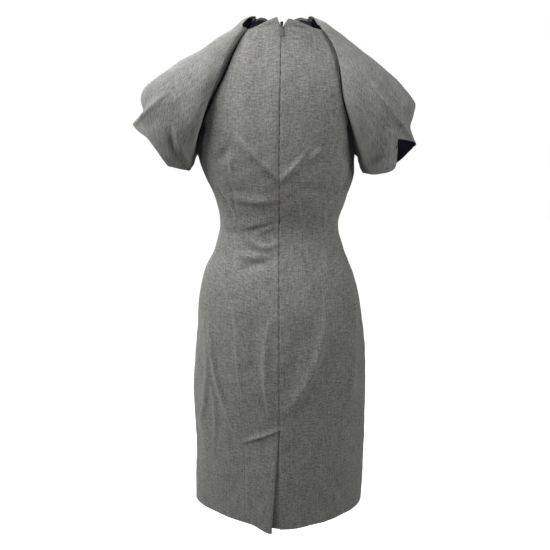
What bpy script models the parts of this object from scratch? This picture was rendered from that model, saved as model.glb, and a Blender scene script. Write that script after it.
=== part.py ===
"""Knee-length wool flannel sheath dress with raglan puff sleeves, filled out as worn and empty inside.

Metres, +Z up. The origin is on the shoulder line at the base of the neck. The front faces -Y and the
wearer's left is +X. Each cloth piece is a wall between a grid of outer points and the same grid moved in
by the cloth's thickness.
"""

import math

import bmesh
import bpy
import numpy as np
from mathutils import Matrix, Vector

WALL = 0.002  # flannel with its lining
HALF_SEAM = 0.00017  # each piece stops this far short of its seam line

HEM_Z = -0.958
UNDERARM_Z = -0.213
PRINCESS_TOP_Z = -0.109  # where the back princess seams run into the raglan seams
NECK_JOINT_Z = 0.018  # where the back raglan seams run into the neck edge
FRONT_JOINT_Z = 0.046  # where the front raglan seams run into the neck edge
VENT_TOP_Z = -0.743
VENT_SLIT_Z = VENT_TOP_Z - 0.004  # where the two edges have parted
ZIP_END_Z = -0.500

# Body sections. Widths are from the middle to each side, depths from the side seam to the middle, and
# a power of 2 makes a quarter of the section an ellipse, less makes it flatter.
# height, left width, right width, back depth, front depth, back left power, back right power,
# front power, lean of the middle
SECTIONS = (
    (0.050, 0.064, 0.070, 0.050, 0.050, 2.00, 2.00, 2.00, -0.005),
    (0.020, 0.090, 0.096, 0.056, 0.058, 2.00, 2.00, 2.00, -0.005),
    (0.000, 0.110, 0.116, 0.063, 0.068, 2.00, 2.00, 2.00, -0.004),
    (-0.050, 0.158, 0.160, 0.085, 0.090, 2.00, 2.00, 2.00, -0.003),
    (-0.100, 0.182, 0.180, 0.098, 0.106, 2.00, 2.00, 2.00, -0.002),
    (-0.150, 0.178, 0.172, 0.104, 0.120, 2.00, 2.00, 2.00, -0.001),
    (-0.213, 0.160, 0.150, 0.105, 0.133, 2.00, 2.00, 2.00, 0.000),
    (-0.250, 0.149, 0.149, 0.102, 0.137, 2.00, 2.00, 2.00, 0.000),
    (-0.300, 0.128, 0.134, 0.091, 0.126, 2.00, 2.00, 2.00, 0.000),
    (-0.352, 0.119, 0.120, 0.078, 0.106, 2.00, 2.00, 2.00, 0.000),
    (-0.400, 0.130, 0.131, 0.085, 0.106, 2.00, 2.00, 2.00, 0.000),
    (-0.450, 0.152, 0.150, 0.104, 0.112, 2.00, 2.00, 2.00, 0.000),
    (-0.500, 0.163, 0.165, 0.119, 0.116, 1.90, 1.92, 2.00, 0.000),
    (-0.570, 0.171, 0.176, 0.128, 0.118, 1.80, 1.84, 2.00, 0.000),
    (-0.640, 0.177, 0.180, 0.131, 0.120, 1.70, 1.76, 1.95, 0.000),
    (-0.750, 0.180, 0.183, 0.132, 0.122, 1.58, 1.68, 1.90, 0.000),
    (-0.850, 0.179, 0.182, 0.132, 0.123, 1.48, 1.64, 1.85, 0.000),
    (-0.958, 0.181, 0.180, 0.132, 0.124, 1.40, 1.62, 1.80, 0.000),
)

# Back raglan seams: height, left and right distance from the middle, and how far the sleeve's fold
# stands beside the seam on each side, leaving an open slot.
BACK_RAGLAN = (
    (0.018, 0.060, 0.075, 0.0070, 0.003),
    (0.002, 0.071, 0.091, 0.0075, 0.003),
    (-0.017, 0.080, 0.102, 0.0080, 0.003),
    (-0.046, 0.092, 0.107, 0.0085, 0.003),
    (-0.071, 0.103, 0.110, 0.0085, 0.003),
    (-0.109, 0.123, 0.116, 0.0075, 0.003),
    (-0.138, 0.137, 0.126, 0.006, 0.003),
    (-0.173, 0.151, 0.138, 0.005, 0.003),
    (-0.213, 0.160, 0.150, 0.003, 0.003),
)

# Front raglan seams: height, left and right distance from the middle, fold beside the seam.
FRONT_RAGLAN = (
    (0.046, 0.044, 0.056, 0.005, 0.005),
    (0.020, 0.060, 0.069, 0.005, 0.005),
    (-0.005, 0.070, 0.078, 0.005, 0.005),
    (-0.030, 0.080, 0.086, 0.005, 0.005),
    (-0.060, 0.092, 0.095, 0.005, 0.005),
    (-0.100, 0.108, 0.106, 0.005, 0.005),
    (-0.140, 0.125, 0.118, 0.004, 0.004),
    (-0.180, 0.146, 0.136, 0.003, 0.003),
    (-0.213, 0.160, 0.150, 0.003, 0.003),
)

# Back princess seams: height, left and right distance from the middle.
PRINCESS = (
    (-0.109, 0.123, 0.116),
    (-0.165, 0.111, 0.109),
    (-0.200, 0.103, 0.104),
    (-0.271, 0.090, 0.095),
    (-0.344, 0.081, 0.087),
    (-0.393, 0.077, 0.081),
    (-0.450, 0.084, 0.087),
    (-0.500, 0.091, 0.092),
    (-0.562, 0.088, 0.091),
    (-0.663, 0.078, 0.092),
    (-0.780, 0.070, 0.096),
    (-0.958, 0.067, 0.098),
)

# Back neck edge: share of the way from the middle to the raglan seam, left and right height.
BACK_NECK = (
    (0.00, 0.018, 0.018),
    (0.08, 0.0275, 0.0275),
    (0.18, 0.040, 0.037),
    (0.43, 0.035, 0.033),
    (0.63, 0.030, 0.027),
    (0.80, 0.025, 0.021),
    (1.00, 0.018, 0.018),
)

# Front neck edge: share of the way from the middle to either raglan seam, height.
FRONT_NECK = ((0.00, 0.030), (0.25, 0.038), (0.50, 0.046), (0.75, 0.049), (1.00, 0.046))

# Folds of the body cloth. A fold runs straight between two points given as distance from the middle
# and height. side is 1 on the back and -1 on the front, half width is that of its soft cross-section,
# and a negative rise is a trough.
# side, x0, z0, x1, z1, half width, rise
BODY_FOLDS = (
    (1, 0.078, -0.180, 0.006, -0.250, 0.013, 0.0048),
    (1, -0.055, -0.198, -0.004, -0.256, 0.012, 0.0060),
    (1, 0.086, -0.287, 0.008, -0.290, 0.011, 0.0050),
    (1, 0.078, -0.303, 0.020, -0.304, 0.010, -0.0045),
    (1, 0.074, -0.322, 0.016, -0.317, 0.012, 0.0040),
    (1, 0.078, -0.388, 0.010, -0.380, 0.012, 0.0045),
    (1, 0.078, -0.425, 0.014, -0.408, 0.013, -0.0050),
    (1, -0.092, -0.312, -0.138, -0.240, 0.014, 0.0045),
    (1, -0.088, -0.530, -0.020, -0.700, 0.016, 0.0055),
    (1, 0.088, -0.520, 0.078, -0.660, 0.016, 0.0040),
    (1, 0.022, -0.530, 0.018, -0.700, 0.016, 0.0035),
    (1, 0.138, -0.570, 0.085, -0.760, 0.014, 0.0045),
    (1, 0.150, -0.620, 0.155, -0.900, 0.016, 0.0040),
    (1, -0.150, -0.600, -0.140, -0.800, 0.016, 0.0040),
    (-1, 0.095, -0.300, 0.030, -0.345, 0.014, 0.0045),
    (-1, -0.095, -0.295, -0.035, -0.340, 0.014, 0.0045),
    (-1, 0.080, -0.400, -0.020, -0.385, 0.014, 0.0040),
    (-1, 0.070, -0.540, 0.060, -0.760, 0.018, 0.0040),
    (-1, -0.080, -0.560, -0.060, -0.800, 0.018, 0.0040),
)

# Sleeve sections, from the shoulder to the cuff. Each is a closed ring in the plane through its top
# and underarm points and the front-to-back direction.
# top x, top height, underarm x, underarm height, back depth, front depth, power, back swing outward
LEFT_RINGS = (
    (0.080, 0.035, 0.164, -0.216, 0.088, 0.088, 2.0, 0.000),
    (0.140, -0.010, 0.166, -0.219, 0.093, 0.092, 2.1, 0.002),
    (0.202, -0.043, 0.168, -0.224, 0.093, 0.092, 2.2, 0.004),
    (0.242, -0.075, 0.170, -0.230, 0.089, 0.089, 2.3, 0.005),
    (0.263, -0.110, 0.172, -0.236, 0.084, 0.084, 2.4, 0.006),
    (0.262, -0.140, 0.174, -0.242, 0.079, 0.079, 2.5, 0.006),
    (0.264, -0.166, 0.177, -0.249, 0.075, 0.074, 2.6, 0.006),
)
RIGHT_RINGS = (
    (0.092, 0.031, 0.154, -0.218, 0.088, 0.088, 2.0, 0.000),
    (0.146, -0.007, 0.156, -0.223, 0.093, 0.092, 2.1, 0.002),
    (0.202, -0.050, 0.157, -0.229, 0.094, 0.092, 2.2, 0.004),
    (0.243, -0.089, 0.159, -0.235, 0.091, 0.089, 2.4, 0.005),
    (0.262, -0.120, 0.160, -0.241, 0.087, 0.084, 2.6, 0.006),
    (0.253, -0.162, 0.162, -0.247, 0.083, 0.079, 2.8, 0.006),
    (0.260, -0.200, 0.165, -0.253, 0.080, 0.070, 3.0, 0.006),
)

# Waves of the cuffs, which grow over the last part of the sleeve. Shares run round the sleeve from
# the underarm over the back. reach is outward along the sleeve, wide is away from the underarm.
# share, half width, reach, wide, backward, start along the sleeve
LEFT_WAVES = (
    (0.400, 0.090, 0.010, 0.019, 0.002, 0.72),
    (0.640, 0.110, 0.010, 0.008, 0.000, 0.60),
)
RIGHT_WAVES = (
    (0.340, 0.085, -0.030, 0.000, -0.008, 0.74),
    (0.455, 0.075, 0.002, 0.004, 0.006, 0.76),
    (0.640, 0.120, 0.018, 0.004, 0.000, 0.60),
)

# Folds of the sleeve cloth, as for the body.
LEFT_SLEEVE_FOLDS = (
    (1, 0.262, -0.153, 0.200, -0.102, 0.016, 0.0050),
    (1, 0.200, -0.175, 0.186, -0.215, 0.012, 0.0030),
    (-1, 0.250, -0.165, 0.190, -0.110, 0.016, 0.0040),
)
RIGHT_SLEEVE_FOLDS = (
    (1, -0.250, -0.180, -0.177, -0.092, 0.016, 0.0055),
    (1, -0.185, -0.130, -0.190, -0.215, 0.016, -0.0030),
    (-1, -0.248, -0.185, -0.180, -0.110, 0.016, 0.0040),
)

# The sleeves' neck edges between the back and the front raglan seam: share of the way round, distance
# from the middle, depth, height.
LEFT_NECK = ((0.22, 0.073, 0.037, 0.025), (0.50, 0.046, 0.000, 0.049))
RIGHT_NECK = ((0.25, 0.072, 0.026, 0.034), (0.50, 0.063, 0.000, 0.047))

FLANNEL_GREY = (0.19, 0.19, 0.175)
NAVY = (0.012, 0.016, 0.026)
ZIP_GREY = (0.20, 0.20, 0.20)


def curve(rows):
    """A smooth function through a table's rows, whose first column is the place."""
    table = np.array(sorted(rows), dtype=float)
    place, values = table[:, 0], table[:, 1:]
    slopes = np.gradient(values, place, axis=0)

    def read(at):
        at = np.clip(np.asarray(at, dtype=float), place[0], place[-1])
        k = np.clip(np.searchsorted(place, at) - 1, 0, len(place) - 2)
        span = (place[k + 1] - place[k])[..., None]
        t = (at - place[k])[..., None] / span
        start = (1 + 2 * t) * (1 - t) ** 2 * values[k] + t * (1 - t) ** 2 * span * slopes[k]
        end = t * t * (3 - 2 * t) * values[k + 1] + t * t * (t - 1) * span * slopes[k + 1]
        return start + end

    return read


def smooth(t):
    """0 to 1 with level ends."""
    t = np.clip(t, 0.0, 1.0)
    return t * t * (3 - 2 * t)


def lerp(a, b, t):
    return a + (b - a) * t


def unit(vectors):
    return vectors / np.linalg.norm(vectors, axis=-1, keepdims=True)


section = curve(SECTIONS)
back_raglan = curve(BACK_RAGLAN)
front_raglan = curve(FRONT_RAGLAN)
princess = curve(PRINCESS)


def fold_height(folds, points):
    """How far the folds raise the cloth at these points."""
    height = np.zeros(points.shape[:-1])
    for side, x0, z0, x1, z1, half_width, rise in folds:
        along = np.array((x1 - x0, z1 - z0))
        offset = points[..., (0, 2)] - np.array((x0, z0))
        share = np.clip(offset @ along / (along @ along), 0.0, 1.0)
        away = np.linalg.norm(offset - share[..., None] * along, axis=-1)
        taper = 0.35 + 0.65 * np.sin(np.pi * share)
        facing = smooth(0.5 + side * points[..., 1] / 0.04)
        height += rise * taper * facing * np.exp(-((away / half_width) ** 2))
    return height


def plain_body(z, angle):
    """Body surface without folds. Angles in degrees: 0 centre back, 90 left side, -90 right side."""
    z, angle = np.broadcast_arrays(np.asarray(z, dtype=float), np.asarray(angle, dtype=float))
    angle = (angle + 180) % 360 - 180
    left, right, back, front, left_power, right_power, front_power, lean = np.moveaxis(section(z), -1, 0)
    turn = np.radians(np.abs(angle))
    behind = np.cos(turn) >= 0
    power = np.where(behind, np.where(angle >= 0, left_power, right_power), front_power)
    depth = np.where(behind, back, -front)
    across = np.abs(np.sin(turn)) ** (2 / power)
    deep = np.abs(np.cos(turn)) ** (2 / power)
    x = np.where(angle >= 0, left, -right) * across + lean * deep * behind
    return np.stack((x, depth * deep, z), axis=-1)


def cross_of(surface, z, angle):
    step_angle, step_z = 0.6, 0.001
    around = surface(z, angle + step_angle) - surface(z, angle - step_angle)
    up = surface(z + step_z, angle) - surface(z - step_z, angle)
    return unit(np.cross(up, around))


def body(z, angle):
    """Body surface with its folds."""
    points = plain_body(z, angle)
    rise = fold_height(BODY_FOLDS, points)
    return points + cross_of(plain_body, z, angle) * rise[..., None]


def body_normal(z, angle):
    return cross_of(body, z, angle)


def angle_at(x, z):
    """Angle from centre back of the point of the back this far to either side."""
    left, right, _, _, left_power, right_power, _, _ = np.moveaxis(section(z), -1, 0)
    on_left = np.asarray(x) >= 0
    share = np.clip(np.abs(x) / np.where(on_left, left, right), 0.0, 1.0)
    power = np.where(on_left, left_power, right_power)
    return np.sign(x) * np.degrees(np.arcsin(share ** (power / 2)))


def front_angle_at(x, z):
    """Angle from centre back of the point of the front this far to either side."""
    left, right, _, _, _, _, power, _ = np.moveaxis(section(z), -1, 0)
    share = np.clip(np.abs(x) / np.where(np.asarray(x) >= 0, left, right), 0.0, 1.0)
    return np.sign(x) * (180 - np.degrees(np.arcsin(share ** (power / 2))))


def levels(*stretches):
    """Heights with the given number of steps in each stretch, as (from, to, steps)."""
    heights = [stretches[0][0]]
    for low, high, steps in stretches:
        heights.extend(np.linspace(low, high, steps + 1)[1:])
    return np.array(heights)


def drawn_in(points, rows=(True, True), columns=(True, True)):
    """The grid with its chosen edges moved in by half a seam gap."""
    moved = points.copy()
    for edge, inner, wanted in ((0, 1, rows[0]), (-1, -2, rows[1])):
        if wanted:
            moved[edge] += unit(points[inner] - points[edge]) * HALF_SEAM
    for edge, inner, wanted in ((0, 1, columns[0]), (-1, -2, columns[1])):
        if wanted:
            moved[:, edge] += unit(points[:, inner] - points[:, edge]) * HALF_SEAM
    return moved


def material(name, colour, roughness, metallic=0.0):
    made = bpy.data.materials.new(name)
    made.use_nodes = True
    shader = made.node_tree.nodes["Principled BSDF"]
    shader.inputs["Base Color"].default_value = (*colour, 1.0)
    shader.inputs["Roughness"].default_value = roughness
    shader.inputs["Metallic"].default_value = metallic
    return made


def add_object(name, mesh, finish):
    mesh.materials.append(finish)
    made = bpy.data.objects.new(name, mesh)
    bpy.context.scene.collection.objects.link(made)
    mesh.shade_smooth()
    mesh.set_sharp_from_angle(angle=math.radians(50))
    return made


def cell_corners(rows, columns, wrap):
    """Corner indices of each cell of a grid, in turn round the cell."""
    for i in range(rows - 1):
        for j in range(columns if wrap else columns - 1):
            k = (j + 1) % columns
            yield (i, j), (i, k), (i + 1, k), (i + 1, j)


def wall(name, outer, normals, thickness=WALL, wrap=False, keep=None, finish=None):
    """A closed wall on a grid of outer points, over the cells that keep(row, column) wants."""
    bm = bmesh.new()
    inner = outer - normals * thickness
    made = {}

    def vertex(layer, place):
        if (layer, place) not in made:
            source = outer if layer == "outer" else inner
            made[layer, place] = bm.verts.new(source[place])
        return made[layer, place]

    sides = {}
    for corners in cell_corners(outer.shape[0], outer.shape[1], wrap):
        if keep is not None and not keep(*corners[0]):
            continue
        a, b, c, d = corners
        short = np.linalg.norm(outer[a] - outer[c]) <= np.linalg.norm(outer[b] - outer[d])
        halves = ((a, b, c), (a, c, d)) if short else ((a, b, d), (b, c, d))
        for half in halves:
            bm.faces.new([vertex("outer", place) for place in half])
            bm.faces.new([vertex("inner", place) for place in reversed(half)])
        for start, end in ((a, b), (b, c), (c, d), (d, a)):
            if (end, start) in sides:
                del sides[end, start]
            else:
                sides[start, end] = True
    for start, end in sides:
        rim = (
            vertex("outer", end),
            vertex("outer", start),
            vertex("inner", start),
            vertex("inner", end),
        )
        bm.faces.new((rim[0], rim[1], rim[2]))
        bm.faces.new((rim[0], rim[2], rim[3]))
    bmesh.ops.recalc_face_normals(bm, faces=bm.faces[:])
    mesh = bpy.data.meshes.new(name)
    bm.to_mesh(mesh)
    bm.free()
    if finish is None:
        finish = material(name + "_flannel", FLANNEL_GREY, 0.92)
    return add_object(name, mesh, finish)


# Heights of the grid rows and steps along the seams. Pieces share them, so that they meet point for
# point at their seams.
WARP_FROM_Z = -0.300  # above this the side panels' rows rise towards the raglan seams
SKIRT_STEPS = ((HEM_Z, VENT_SLIT_Z, 7), (VENT_SLIT_Z, VENT_TOP_Z, 1), (VENT_TOP_Z, -0.470, 10))
WAIST_STEPS = ((-0.470, WARP_FROM_Z, 14), (WARP_FROM_Z, -0.160, 11), (-0.160, PRINCESS_TOP_Z, 4))
BACK_ROWS = levels(*SKIRT_STEPS, *WAIST_STEPS)
FRONT_ROWS = levels(*SKIRT_STEPS, (-0.470, WARP_FROM_Z, 7), (WARP_FROM_Z, UNDERARM_Z, 4))
BACK_COLUMNS = (0.0, 0.08, 0.18, 0.34, 0.50, 0.66, 0.83, 1.0)  # shares out from the centre back
LOWER_SEAM_STEPS = 7  # back raglan seam below the princess seam
UPPER_SEAM_STEPS = 9
NECK_STEPS = 8
FRONT_SEAM_STEPS = 12


def raglan_angle(side, z, front=False):
    """Angle of the raglan seam at these heights."""
    which = 0 if side > 0 else 1
    if front:
        return front_angle_at(side * front_raglan(z)[..., which], z)
    return angle_at(side * back_raglan(z)[..., which], z)


def raglan_rows(side, low, high, steps, front=False):
    """Heights that part this stretch of a raglan seam into steps of equal length."""
    z = np.linspace(low, high, 100)
    points = body(z, raglan_angle(side, z, front))
    gone = np.concatenate(((0.0,), np.cumsum(np.linalg.norm(np.diff(points, axis=0), axis=1))))
    return np.interp(np.linspace(0.0, gone[-1], steps + 1), gone, z)


def front_panel():
    """The front, one piece from side seam to side seam, up to the raglan seams and the neck."""
    columns = np.linspace(-1.0, 1.0, 21)
    z_rows = [np.full(columns.shape, z) for z in FRONT_ROWS]
    angle_rows = [180 - columns * 90 for _ in FRONT_ROWS]
    neck = np.interp(np.abs(columns), *zip(*FRONT_NECK))
    left_rows = raglan_rows(1, UNDERARM_Z, FRONT_JOINT_Z, FRONT_SEAM_STEPS, front=True)
    right_rows = raglan_rows(-1, UNDERARM_Z, FRONT_JOINT_Z, FRONT_SEAM_STEPS, front=True)
    for left_z, right_z in zip(left_rows[1:], right_rows[1:]):
        edge_z = np.where(columns >= 0, left_z, right_z)
        row_z = lerp((left_z + right_z) / 2, edge_z, np.abs(columns))
        share = (row_z - UNDERARM_Z) / (FRONT_JOINT_Z - UNDERARM_Z)
        half_left = 180 - raglan_angle(1, left_z, front=True)
        half_right = 180 + raglan_angle(-1, right_z, front=True)
        z_rows.append(lerp(UNDERARM_Z, neck, share))
        angle_rows.append(180 - columns * np.where(columns >= 0, half_left, half_right))
    z, angle = np.array(z_rows), np.array(angle_rows)
    outer = drawn_in(body(z, angle), rows=(False, False))
    return wall("front", outer, body_normal(z, angle))


def back_centre_grid(side):
    """Heights and angles of a back centre panel, columns from centre back out."""
    which = 0 if side > 0 else 1
    share_out = np.array(BACK_COLUMNS)
    neck_share, *neck_heights = zip(*BACK_NECK)
    neck = np.interp(share_out, neck_share, neck_heights[which])
    z_rows, angle_rows = [], []
    for z in BACK_ROWS:
        edge = angle_at(side * princess(z)[which], z)
        z_rows.append(np.full(share_out.shape, z))
        angle_rows.append(edge * share_out)
    for edge_z in raglan_rows(side, PRINCESS_TOP_Z, NECK_JOINT_Z, UPPER_SEAM_STEPS)[1:]:
        share = (edge_z - PRINCESS_TOP_Z) / (NECK_JOINT_Z - PRINCESS_TOP_Z)
        z_rows.append(lerp(PRINCESS_TOP_Z, neck, share))
        angle_rows.append(raglan_angle(side, edge_z) * share_out)
    return np.array(z_rows), np.array(angle_rows)


FLAP_SWING = 0.014  # how far the vent's free edge has swung across at the hem
FLAP_LIFT = 0.0075  # how far it stands off at the hem
FLAP_WIDTH = 0.060
TUCK = 0.0031  # how far the underlap lies behind the flap's outer face
TUCK_FROM_X = 0.0032  # the right panel bends inward this far short of the flap's edge
UNDERLAP = 0.050


def below_vent(z):
    """0 at the vent's top to 1 at the hem."""
    return np.clip((VENT_TOP_Z - z) / (VENT_TOP_Z - HEM_Z), 0.0, 1.0)


def back_centre_left():
    """The left back centre panel, whose edge below the vent's top is the free overlapping flap."""
    z, angle = back_centre_grid(1)
    outer = drawn_in(body(z, angle), rows=(False, False))
    normals = body_normal(z, angle)
    share = below_vent(z)
    near_edge = np.clip(1 - outer[..., 0] / FLAP_WIDTH, 0.0, 1.0)
    swing = FLAP_SWING * share * smooth(near_edge)
    lift = FLAP_LIFT * share * smooth(near_edge)
    outer = outer + normals * lift[..., None]
    outer[..., 0] += swing
    outer[..., 1] -= 0.35 * swing
    outer[0, 0, 2] -= 0.003
    return wall("back_centre_left", outer, normals)


def back_centre_right():
    """The right back centre panel with the vent's underlap, which passes behind the flap."""
    z, angle = back_centre_grid(-1)
    outer = drawn_in(body(z, angle), rows=(False, False))
    normals = body_normal(z, angle)
    vent_rows = int(np.sum(z[:, 0] < VENT_TOP_Z - HALF_SEAM))
    reach = np.array((0.0006, 0.004, 0.018, 0.034, UNDERLAP))
    top = VENT_SLIT_Z - 0.45 * reach
    share = np.clip((VENT_SLIT_Z - z[:, :1]) / (VENT_SLIT_Z - HEM_Z), 0.0, 1.0)
    lap_z = lerp(top, HEM_Z, share)
    lap_angle = angle_at(np.broadcast_to(reach, lap_z.shape), lap_z)
    lap_normals = body_normal(lap_z, lap_angle)
    lap = body(lap_z, lap_angle) - lap_normals * TUCK
    outer[:vent_rows, 0, 0] = -TUCK_FROM_X
    outer = np.concatenate((outer[:, ::-1], lap), axis=1)
    normals = np.concatenate((normals[:, ::-1], lap_normals), axis=1)
    last_main = z.shape[1] - 1

    def keep(i, j):
        return j < last_main or i < vent_rows - 1

    return wall("back_centre_right", outer, normals, keep=keep)


def back_side_panel(name, side):
    """A back side panel, from its princess seam to the side seam and up to the raglan seam."""
    which = 0 if side > 0 else 1
    top = raglan_rows(side, UNDERARM_Z, PRINCESS_TOP_Z, LOWER_SEAM_STEPS)[::-1]
    start = angle_at(side * princess(top)[:, which], top)
    share_out = (raglan_angle(side, top) - start) / (side * 90 - start)
    z_rows = [np.full(share_out.shape, z) for z in BACK_ROWS if z <= WARP_FROM_Z]
    for z in BACK_ROWS:
        if z > WARP_FROM_Z:
            z_rows.append(lerp(WARP_FROM_Z, top, (z - WARP_FROM_Z) / (PRINCESS_TOP_Z - WARP_FROM_Z)))
    z = np.array(z_rows)
    seam_angle = angle_at(side * princess(z)[..., which], z)
    angle = lerp(seam_angle, side * 90.0, share_out)
    outer = drawn_in(body(z, angle), rows=(False, True))
    return wall(name, outer, body_normal(z, angle))


ALONG = 13  # rows from the standing fold to the cuff
FOLD_STAND = 1.3  # height of the standing fold against the width of the slot beside it
SLOT_DEPTH = 0.7
BACK_SHARE, FRONT_SHARE = 0.40, 0.60  # where round a sleeve the neck edge begins and ends


def armhole(side):
    """The sleeve's seam and neck edge, from the underarm up the back and down the front.

    Gives the share round the sleeve, the points, the body's normals there, the directions away from
    the body pieces, and the distance of the standing fold.
    """
    which = 0 if side > 0 else 1
    lower = raglan_rows(side, UNDERARM_Z, PRINCESS_TOP_Z, LOWER_SEAM_STEPS)
    upper = raglan_rows(side, PRINCESS_TOP_Z, NECK_JOINT_Z, UPPER_SEAM_STEPS)
    back_z = np.concatenate((lower, upper[1:]))
    front_z = raglan_rows(side, UNDERARM_Z, FRONT_JOINT_Z, FRONT_SEAM_STEPS, front=True)[::-1]
    back_angle = raglan_angle(side, back_z)
    front_angle = raglan_angle(side, front_z, front=True)
    back, front = body(back_z, back_angle), body(front_z, front_angle)
    edge = [(place, side * x, y, z) for place, x, y, z in (LEFT_NECK, RIGHT_NECK)[which]]
    neck_line = curve(((0.0, *back[-1]), *edge, (1.0, *front[0])))
    neck_share = np.linspace(0.0, 1.0, NECK_STEPS + 1)[1:-1]
    back_normals, front_normals = body_normal(back_z, back_angle), body_normal(front_z, front_angle)
    neck_normals = lerp(back_normals[-1], front_normals[0], neck_share[:, None])
    neck_normals += np.sin(np.pi * neck_share)[:, None] * np.array((side * 0.6, 0.0, 0.8))
    back_slot, front_slot = back_raglan(back_z)[:, 2 + which], front_raglan(front_z)[:, 2 + which]
    share = np.concatenate(
        (
            np.linspace(0.0, BACK_SHARE, len(back)),
            lerp(BACK_SHARE, FRONT_SHARE, neck_share),
            np.linspace(FRONT_SHARE, 1.0, len(front))[:-1],
        )
    )
    points = np.concatenate((back, neck_line(neck_share), front[:-1]))
    normals = np.concatenate((back_normals, unit(neck_normals), front_normals[:-1]))
    slots = np.concatenate((back_slot, lerp(back_slot[-1], front_slot[0], neck_share), front_slot[:-1]))
    run = unit(np.roll(points, -1, axis=0) - np.roll(points, 1, axis=0))
    away = unit(np.cross(normals, run)) * side
    return share, points, normals, away, slots


def ring_points(side, rings, waves, share, along):
    """Points of the sleeve at these shares round it and along it, from the table of its rings."""
    places = np.linspace(0.0, 1.0, len(rings))
    read = curve([(place, *row) for place, row in zip(places, rings)])
    top_x, top_z, under_x, under_z, back, front, power, swing = np.moveaxis(read(along), -1, 0)
    turn = 2 * np.pi * share
    down, out = np.cos(turn), np.sin(turn)
    long = -np.sign(down) * np.abs(down) ** (2 / power)
    deep = np.sign(out) * np.abs(out) ** (2 / power)
    middle = np.stack(((top_x + under_x) / 2, np.zeros_like(top_x), (top_z + under_z) / 2), axis=-1)
    half = np.stack(((top_x - under_x) / 2, np.zeros_like(top_x), (top_z - under_z) / 2), axis=-1)
    wide = unit(half)
    reach = np.stack((wide[..., 2], np.zeros_like(top_x), -wide[..., 0]), axis=-1)
    points = middle + half * long[..., None] + reach * (swing * out * out)[..., None]
    points[..., 1] += np.where(deep >= 0, back, front) * deep
    for centre, half_width, reach_by, wide_by, back_by, start in waves:
        near = np.clip(1 - np.abs(share - centre) / half_width, 0.0, 1.0)
        grown = np.clip((along - start) / (1 - start), 0.0, 1.0) ** 1.5
        weight = (near**1.4 * grown)[..., None]
        points += weight * (reach * reach_by + wide * wide_by + np.array((0.0, back_by, 0.0)))
    points[..., 0] *= side
    return points


def grid_normals(points):
    """Normals of a grid whose columns go round, pointing away from the tube's inside."""
    around = np.roll(points, -1, axis=1) - np.roll(points, 1, axis=1)
    along = np.gradient(points, axis=0)
    normals = unit(np.cross(around, along))
    centre = points.mean(axis=1, keepdims=True)
    outward = np.sum(normals * (points - centre), axis=(1, 2)).sum()
    return normals if outward > 0 else -normals


def sleeve(name, side, rings, waves, folds):
    """A raglan sleeve: seam, the slot beside it, the standing fold, then the rings to the cuff."""
    share, seam, seam_normals, away, slots = armhole(side)
    off_underarm = smooth(np.minimum(share, 1 - share) / 0.12)[:, None]
    on_back = smooth((0.52 - share) / 0.10)[:, None] * off_underarm
    start = seam + away * 2 * HALF_SEAM
    slot = slots[:, None]
    floor = seam + away * (0.5 * slot + 0.0015) - seam_normals * SLOT_DEPTH * slot * on_back
    crest = seam + away * (slot + 0.0005) + seam_normals * FOLD_STAND * slot * lerp(0.4, 1.0, on_back)
    under = ring_points(side, rings, waves, share, np.zeros_like(share))
    near_under = 1 - smooth(np.minimum(share, 1 - share) / 0.06)[:, None]
    floor = lerp(floor, lerp(start, under, 0.35), near_under)
    crest = lerp(crest, lerp(start, under, 0.75), near_under)
    along = np.linspace(0.0, 1.0, ALONG)[1:]
    rows = [crest, lerp(crest, under, 0.55)]
    rows += [ring_points(side, rings, waves, share, np.full_like(share, at)) for at in along]
    skin = np.array(rows)
    rise = fold_height(folds, skin)
    skin = skin + grid_normals(skin) * rise[..., None]
    outer = np.concatenate((start[None], floor[None], skin))
    normals = grid_normals(outer)
    normals[0] = unit(lerp(seam_normals, normals[0], near_under))
    return wall(name, outer, normals, wrap=True)


TAPE_HALF_WIDTH = 0.011
TAPE_THICKNESS = 0.0008
TAPE_GAP = 0.0008


def across_panel(grid, x, width):
    """Each row of a back centre panel's grid, read at one distance from the centre back."""
    places = np.abs(x - x[:, :1])
    return np.array([[np.interp(width, at, row) for row in rows.T] for at, rows in zip(places, grid)])


def zip_tape():
    """The invisible zip's closed tape, behind the centre back seam, on the two panels' own rows."""
    edges = []
    for side in (-1, 1):
        z, angle = back_centre_grid(side)
        keep = z[:, 0] > ZIP_END_Z
        points, normals = body(z, angle)[keep], body_normal(z, angle)[keep]
        behind = points - normals * (WALL + TAPE_GAP)
        edges.append((across_panel(behind, points[..., 0], TAPE_HALF_WIDTH), behind[:, 0], normals[:, 0]))
    (right, middle, normal), (left, left_middle, left_normal) = edges
    outer = np.stack((right, (middle + left_middle) / 2, left), axis=1)[:-1]
    normals = np.repeat(unit(normal + left_normal)[:-1, None], 3, axis=1)
    finish = material("zip_tape_navy", NAVY, 0.8)
    return wall("zip_tape", outer, normals, thickness=TAPE_THICKNESS, finish=finish)


PIVOT_Z = 0.0255
ZIP_X = float(plain_body(PIVOT_Z, 0.0)[0])
ARCH_INNER = 0.0012
ARCH_OUTER = 0.0019
ARCH_HALF_WIDTH = 0.0006
SLIDER_FRONT = 0.0012  # from the pull's axis back to the slider's face
SLIDER_DEPTH = 0.0030
PULL_THICKNESS = 0.0009
PULL_LENGTH = 0.0215


def surface_y(z):
    return float(plain_body(z, 0.0)[1])


PIVOT_Y = surface_y(PIVOT_Z) + SLIDER_FRONT + 0.0004


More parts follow.
